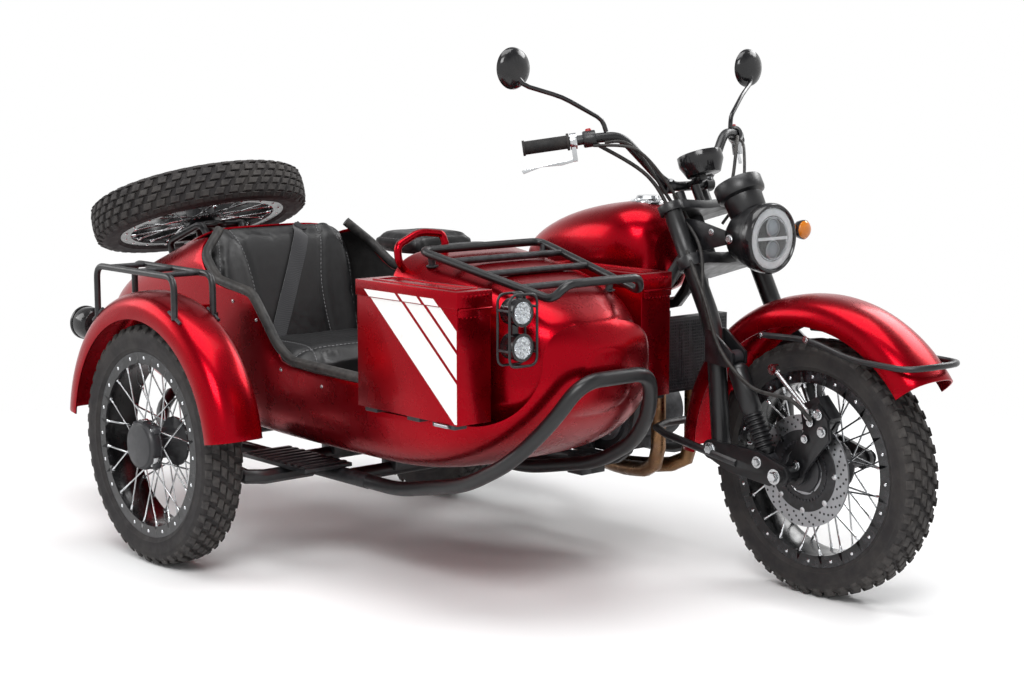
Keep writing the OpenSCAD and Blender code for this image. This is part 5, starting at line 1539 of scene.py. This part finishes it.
def make_spot_lamps():
    """Two round lamps with lenses in a wire cage."""
    dress("spot_lamps", GLOSS_BLACK, 1.0)
    face = SPOT_X + SPOT_DEPTH
    parts, lenses = [], []
    r = SPOT_D / 2
    for z in SPOT_Z:
        def lamp_at(y, up, x):
            return turned(by_sidecar(x, SPOT_Y + y, z + up), (1, 0, 0))
        bowl = lathe("bowl", [(0, 0), (r - 8, 0), (r - 5.4, 3.4), (r - 5.2, 3.8), (r - 5, 0.5)], lamp_at(0, 0, face - 3.7), 40)
        bowl.data.materials.append(CHROME)
        parts.append(bowl)
        spots = [(0, 0)] + [(15.5 * math.cos(a), 15.5 * math.sin(a)) for a in (math.pi * (k + 0.5) / 3 for k in range(6))]
        for y, up in spots:
            cup = lathe("cup", [(7, 0), (6.6, 2.6), (5.8, 2.9), (3, 0.6), (0, 0.6)], lamp_at(y, up, face - 3.6), 18)
            cup.data.materials.append(CHROME)
            bead = lathe("bead", [(4.6, 0), (4.2, 1.6), (2.6, 2.8), (0, 3.2)], lamp_at(y, up, face - 3.4), 16)
            bead.data.materials.append(LED)
            parts += [cup, bead]
        lens = lathe("lens", [(0, 0), (r - 5.6, 0), (r - 5.6, 1), (r * 0.5, 2.6), (0, 3.2)], lamp_at(0, 0, face - 0.6), 40)
        lens.data.materials.append(GLASS)
        lenses.append(lens)
        rim = lathe("rim", [(r + 0.3, -12), (r + 1.4, -11), (r + 1.4, 0.4), (r - 1, 1.4), (r - 5, 0.2), (r - 5.2, -3)], lamp_at(0, 0, face), 48)
        rim.data.materials.append(GLOSS_BLACK)
        parts.append(rim)
        for k in range(5):
            fin = lathe("fin", [(r - 4, 0), (r - 1.2, 0), (r - 1.2, 2.4), (r - 4, 2.4)], lamp_at(0, 0, SPOT_X + 3 + 5.2 * k), 40)
            fin.data.materials.append(GLOSS_BLACK)
            parts.append(fin)
    for part in parts + lenses:
        smooth(part, 40)
    finish(join("spot_lamp_inside", parts), "chassis", None)
    finish(join("spot_lamp_lenses", lenses), "chassis", None)
    low, high = SPOT_Z[0] - 42, SPOT_Z[1] + 42
    cage = []
    for x in (SPOT_X + 10, face + 3):
        ring = [(x, SPOT_Y - 42, low), (x, SPOT_Y + 40, low), (x, SPOT_Y + 40, high), (x, SPOT_Y - 42, high)]
        ring = bent([ring[3]] + ring + ring[:2], 22, 5)[7:-1]
        cage.append(tube("wire", [by_sidecar(*p) for p in ring[:-1]], 3.2, 10, True))
    for y, z in ((-42, low + 36), (-42, high - 36), (40, high - 30), (40, low + 30), (0, high), (0, low)):
        cage.append(bar((SPOT_X + 10, SPOT_Y + y, z), (face + 3, SPOT_Y + y, z), 6.4, by_sidecar, 10))
    for z in (low + 36, high - 36):
        cage.append(bar((SPOT_X + 10, SPOT_Y + 40, z), (SPOT_X - 10, SPOT_Y + 58, z), 6.4, by_sidecar, 10))
    for wire in cage:
        wire.data.materials.append(BLACK)
    finish(join("spot_lamp_cage", cage), "chassis", None)


def make_body_fittings():
    make_stripes()
    for side in (-1, 1):
        make_box_fittings(side)
    make_screws()
    make_trunk_hinge()
    make_spot_lamps()


LED = plastic("frosted_led", "#e9ecee", 0.25)


# Motorcycle: tank, its filler ring, and the bolt rings for the engine's fittings
TANK_ROWS = [
    (505, 46, 700, 772, 2.6), (560, 98, 686, 826, 2.8), (640, 128, 676, 870, 2.8), (740, 146, 676, 904, 2.8),
    (850, 152, 676, 926, 2.7), (940, 144, 684, 932, 2.6), (1000, 118, 708, 906, 2.5), (1030, 76, 748, 866, 2.4),
]


def make_tank():
    tank = loft("tank_skin", section_rows(TANK_ROWS, 8), 72, at)
    tank.data.materials.append(RED)
    apply_modifiers(bevel(tank, 9, 4, 50))
    smooth(tank, 60)
    finish(tank, BODY_OF["fuel_tank"], SLOT_OF["fuel_tank"], replaces=["fuel_tank"])
    cap = at(924, 0, 931)
    parts = [spun([(46, -6), (47, 0), (45, 3), (40, 4), (39, 2)], cap, (0.02, 0, 1), CHROME, 56)]
    parts += bolt_ring(cap, (0.02, 0, 1), 43, 6, 2.2, 3)
    finish(join("filler_ring", parts), "chassis", None)


def bolt_ring(place, axis, radius, count, size, height, material=None):
    """Small round heads on a circle."""
    matrix = turned(place, axis)
    parts = []
    for k in range(count):
        a = 2 * math.pi * k / count
        spot = matrix @ (Vector((radius * math.cos(a), radius * math.sin(a), 0)) * MM)
        parts.append(spun([(0, 0), (size, 0), (size, height), (size * 0.6, height + 0.8), (0, height + 0.8)], spot, axis, material or SILVER, 12))
    return parts


def make_bike():
    make_tank()


# Engine covers, silencer, rear springs and tail lamps
COVERS = [(640, 375, 84, 122), (812, 350, 66, 119)]
MUFFLER_AT, MUFFLER_R, MUFFLER_L = (300, 238, 300), 49.6, 520
REAR_SHOCK = (Vector((36, 158.6, 337)), Vector((74, 158.6, 655)))
TAIL_POD = (-487, -893, 545)
HUB_COVER_Z = 65
INDICATOR_AT = (HUB_X - 250, 196, 868)
HUB_GREY = powder_coat("hub_grey", "#29292c", 0.42)

# Mesh guard on the radiator's face: its front, half width, heights, wire and pitch
CORE_X, CORE_HALF, CORE_Z, CORE_WIRE, CORE_PITCH = 1103.4, 112, (460, 636), 2.2, 8


def make_covers():
    """Round side covers with a raised rim and a ring of bolts."""
    parts = []
    for side in (-1, 1):
        axis = (0, side, 0)
        for x, z, r, y in COVERS:
            spot = at(x, side * y, z)
            rim = [(r - 1, -1), (r - 1, 3), (r - 4, 5.5), (r - 16, 5.5), (r - 20, 3), (r - 34, 4), (r - 38, 8), (0, 9)]
            parts.append(spun(rim, spot, axis, COVER, 64, 50))
            parts += bolt_ring(at(x, side * (y + 5.4), z), axis, r - 10, 8, 4.4, 4)
        plug = at(880, side * 108, 365)
        parts.append(spun([(66, -1), (66, 3), (60, 6), (40, 7), (38, 5), (0, 5)], plug, axis, COVER, 56, 50))
        parts += bolt_ring(at(880, side * 114, 365), axis, 52, 6, 4, 3)
    finish(join("engine_covers", parts), "chassis", "engine_black")
    caps = []
    for y in (-40, 40):
        caps.append(spun([(16, 0), (16, 10), (11, 16), (11, 34), (8, 38), (0, 38)], at(800, y, 630), (0.2, 0, 1), RUBBER_BLACK, 24))
    finish(join("plug_caps", caps), "chassis", "grip_rubber")


def make_radiator_guard():
    """A square wire mesh over the radiator's fins."""
    middle = sum(CORE_Z) / 2
    tall = CORE_Z[1] - CORE_Z[0]
    wires = [(y, middle, CORE_WIRE, tall) for y in range(-CORE_HALF, CORE_HALF + 1, CORE_PITCH)]
    wires += [(0, z, 2 * CORE_HALF, CORE_WIRE) for z in range(CORE_Z[0], CORE_Z[1] + 1, CORE_PITCH)]
    bm = bmesh.new()
    for y, z, wide, high in wires:
        size = Matrix.Diagonal((CORE_WIRE * MM, wide * MM, high * MM, 1))
        bmesh.ops.create_cube(bm, size=1, matrix=Matrix.Translation(at(CORE_X, y, z)) @ size)
    finish(bm_object("radiator_guard", bm), "chassis", "radiator_black", HUB_GREY)


def make_silencer():
    back, x = (-1, 0, 0), MUFFLER_AT[0]
    place = at(*MUFFLER_AT)
    r = MUFFLER_R
    body = spun([(31, -10), (33, -8), (r - 6, 38), (r, 52), (r + 0.6, 60), (r + 0.6, MUFFLER_L - 60)], place, back, DARK, 56, 40)
    cap = spun([(r + 0.6, MUFFLER_L - 60), (r + 2, MUFFLER_L - 57), (r + 2, MUFFLER_L - 30), (42, MUFFLER_L + 1), (24, MUFFLER_L + 1), (22.4, MUFFLER_L - 6), (22.4, MUFFLER_L - 50)], place, back, BRUSHED, 56, 40)
    band = spun([(r + 0.4, 120), (r + 2.4, 121), (r + 2.4, 143), (r + 0.4, 144)], place, back, SILVER, 56, 40)
    finish(join("silencer", [body, cap, band]), "chassis", "black_frame")


def make_rear_springs():
    parts = []
    for side in (-1, 1):
        low, high = (Vector((p.x, side * p.y, p.z)) for p in REAR_SHOCK)
        axis = high - low
        matrix = turned(at(*low), axis)
        length = axis.length
        turns, per_turn = 10, 16
        coil = []
        for k in range(turns * per_turn + 1):
            a = 2 * math.pi * k / per_turn
            z = length * (0.2 + 0.62 * k / (turns * per_turn))
            coil.append(matrix @ (Vector((26 * math.cos(a), 26 * math.sin(a), z)) * MM))
        wire = tube("coil", coil, 4.2, 8)
        wire.data.materials.append(GLOSS_BLACK)
        parts.append(wire)
        parts.append(spun([(12, length * 0.16), (31, length * 0.17), (31, length * 0.19), (12, length * 0.2)], at(*low), axis, SILVER, 36))
        parts.append(spun([(12, length * 0.83), (31, length * 0.84), (31, length * 0.88), (24, length * 0.91), (12, length * 0.92)], at(*low), axis, BLACK, 36))
    finish(join("rear_springs", parts), "chassis", "black_frame")


def make_tail_lamps():
    lens = spun([(40, -2), (40, 2), (34, 5), (18, 7), (0, 7.6)], at(*TAIL_POD), (-1, 0, 0), RED_LENS, 48)
    rim = spun([(48, -8), (49, -6), (49, 1), (46, 3), (41, 2.4), (40.5, -1)], at(*TAIL_POD), (-1, 0, 0), GLOSS_BLACK, 48)
    finish(join("sidecar_tail_lens", [lens]), "chassis", "red_lens")
    finish(join("sidecar_tail_rim", [rim]), "chassis", "dash_black")


def make_hub_cover():
    """Cap of the sidecar's hub with four ears, on the wheel's outer side."""
    place = WHEEL_AT["sidecar"]
    out = place.to_3x3() @ Vector((0, 0, 1))
    centre = place @ (Vector((0, 0, HUB_COVER_Z)) * MM)
    parts = [spun([(61, -34), (63, -32), (63, -6), (60, 3), (54, 6), (50, 6.5), (46, 7.5), (0, 8)], centre, out, HUB_GREY, 56, 45)]
    for k in range(4):
        a = math.pi * (k + 0.5) / 2
        spot = place @ (Vector((62 * math.cos(a), 62 * math.sin(a), HUB_COVER_Z - 26)) * MM)
        parts.append(spun([(0, 0), (13, 0), (13, 15), (10, 18), (0, 18)], spot, out, HUB_GREY, 24, 45))
        parts.append(spun([(0, 18), (6, 18), (6, 21), (4.4, 22), (0, 22)], spot, out, SILVER, 6))
    finish(join("hub_cover", parts), "sidecar_wheel", "wire_wheel")


def make_indicator_lens():
    """Amber lens and its black back, on the stalk of the left indicator."""
    x, y, z = INDICATOR_AT
    stalk = bar((x - 16, y - 52, z + 2), (x, y, z), 13, at)
    stalk.data.materials.append(BLACK)
    back = spun([(0, -26), (12, -25), (22, -12), (25, 0), (25, 6), (23, 7)], at(x, y, z), (1, 0, 0), GLOSS_BLACK, 36)
    finish(join("indicator_back", [stalk, back]), "steering", "dash_black")
    lens = spun([(23.4, 4), (23, 9), (18, 14), (10, 16.5), (0, 17.4)], at(x, y, z), (1, 0, 0), AMBER, 36)
    finish(join("indicator_lens", [lens]), "steering", "amber")


def make_engine():
    make_hub_cover()
    make_indicator_lens()
    make_covers()
    make_radiator_guard()
    make_silencer()
    make_rear_springs()
    make_tail_lamps()


# Solids whose own shape is right, with softened edges and their finish
PLAIN = [
    (BLACK, 1.2, "bike_frame swingarm foot_pegs fork leading_link sidecar_frame step_board sidecar_axle"),
    (BLACK, 0.0, "fender_guard handlebar cockpit_rail nose_rack crash_bar fender_rack spare_carrier"),
    (BLACK, 0.8, "rear_shocks front_shocks"),
    (CAST, 1.2, "engine caliper"),
    (DARK, 0.8, "radiator"),
    (HEADER, 0.0, "exhaust"),
    (SILVER, 0.6, "filler_cap levers"),
    (MATT_BLACK, 1.0, "seat_base"),
    (RED, 1.0, "right_box left_box right_lid left_lid rear_fender front_fender sidecar_fender"),
    (RED, 0.0, "grab_handle fuel_tank sidecar_tub trunk_lid"),
    (CHROME, 0.6, "headlamp"),
    (GLOSS_BLACK, 0.8, "instrument mirrors sidecar_tail_lamp spot_lamps"),
    (GRIP, 0.6, "grips"),
    (AMBER, 0.6, "indicator"),
    (RED_LENS, 0.8, "bike_tail_lamp"),
    (HIDE, 0.0, "rider_seat pillion_seat seat_cushion seat_back"),
    (WEBBING, 0.0, "seat_belt"),
    (TYRE, 0.0, "rear_tyre front_tyre sidecar_tyre spare_tyre"),
    (BLACK, 0.0, "rear_wheel front_wheel sidecar_wheel spare_wheel"),
]


def dress_plain():
    for material, edge, nodes in PLAIN:
        for node in nodes.split():
            if node not in REPLACED:
                dress(node, material, edge)


add_studio()
make_tub()
make_trunk_lid()
make_tubes()
for wheel in WHEEL_AT:
    make_tyre(wheel)
    make_wheel(wheel)
make_seats()
make_front()
make_body_fittings()
make_bike()
make_engine()
dress_plain()
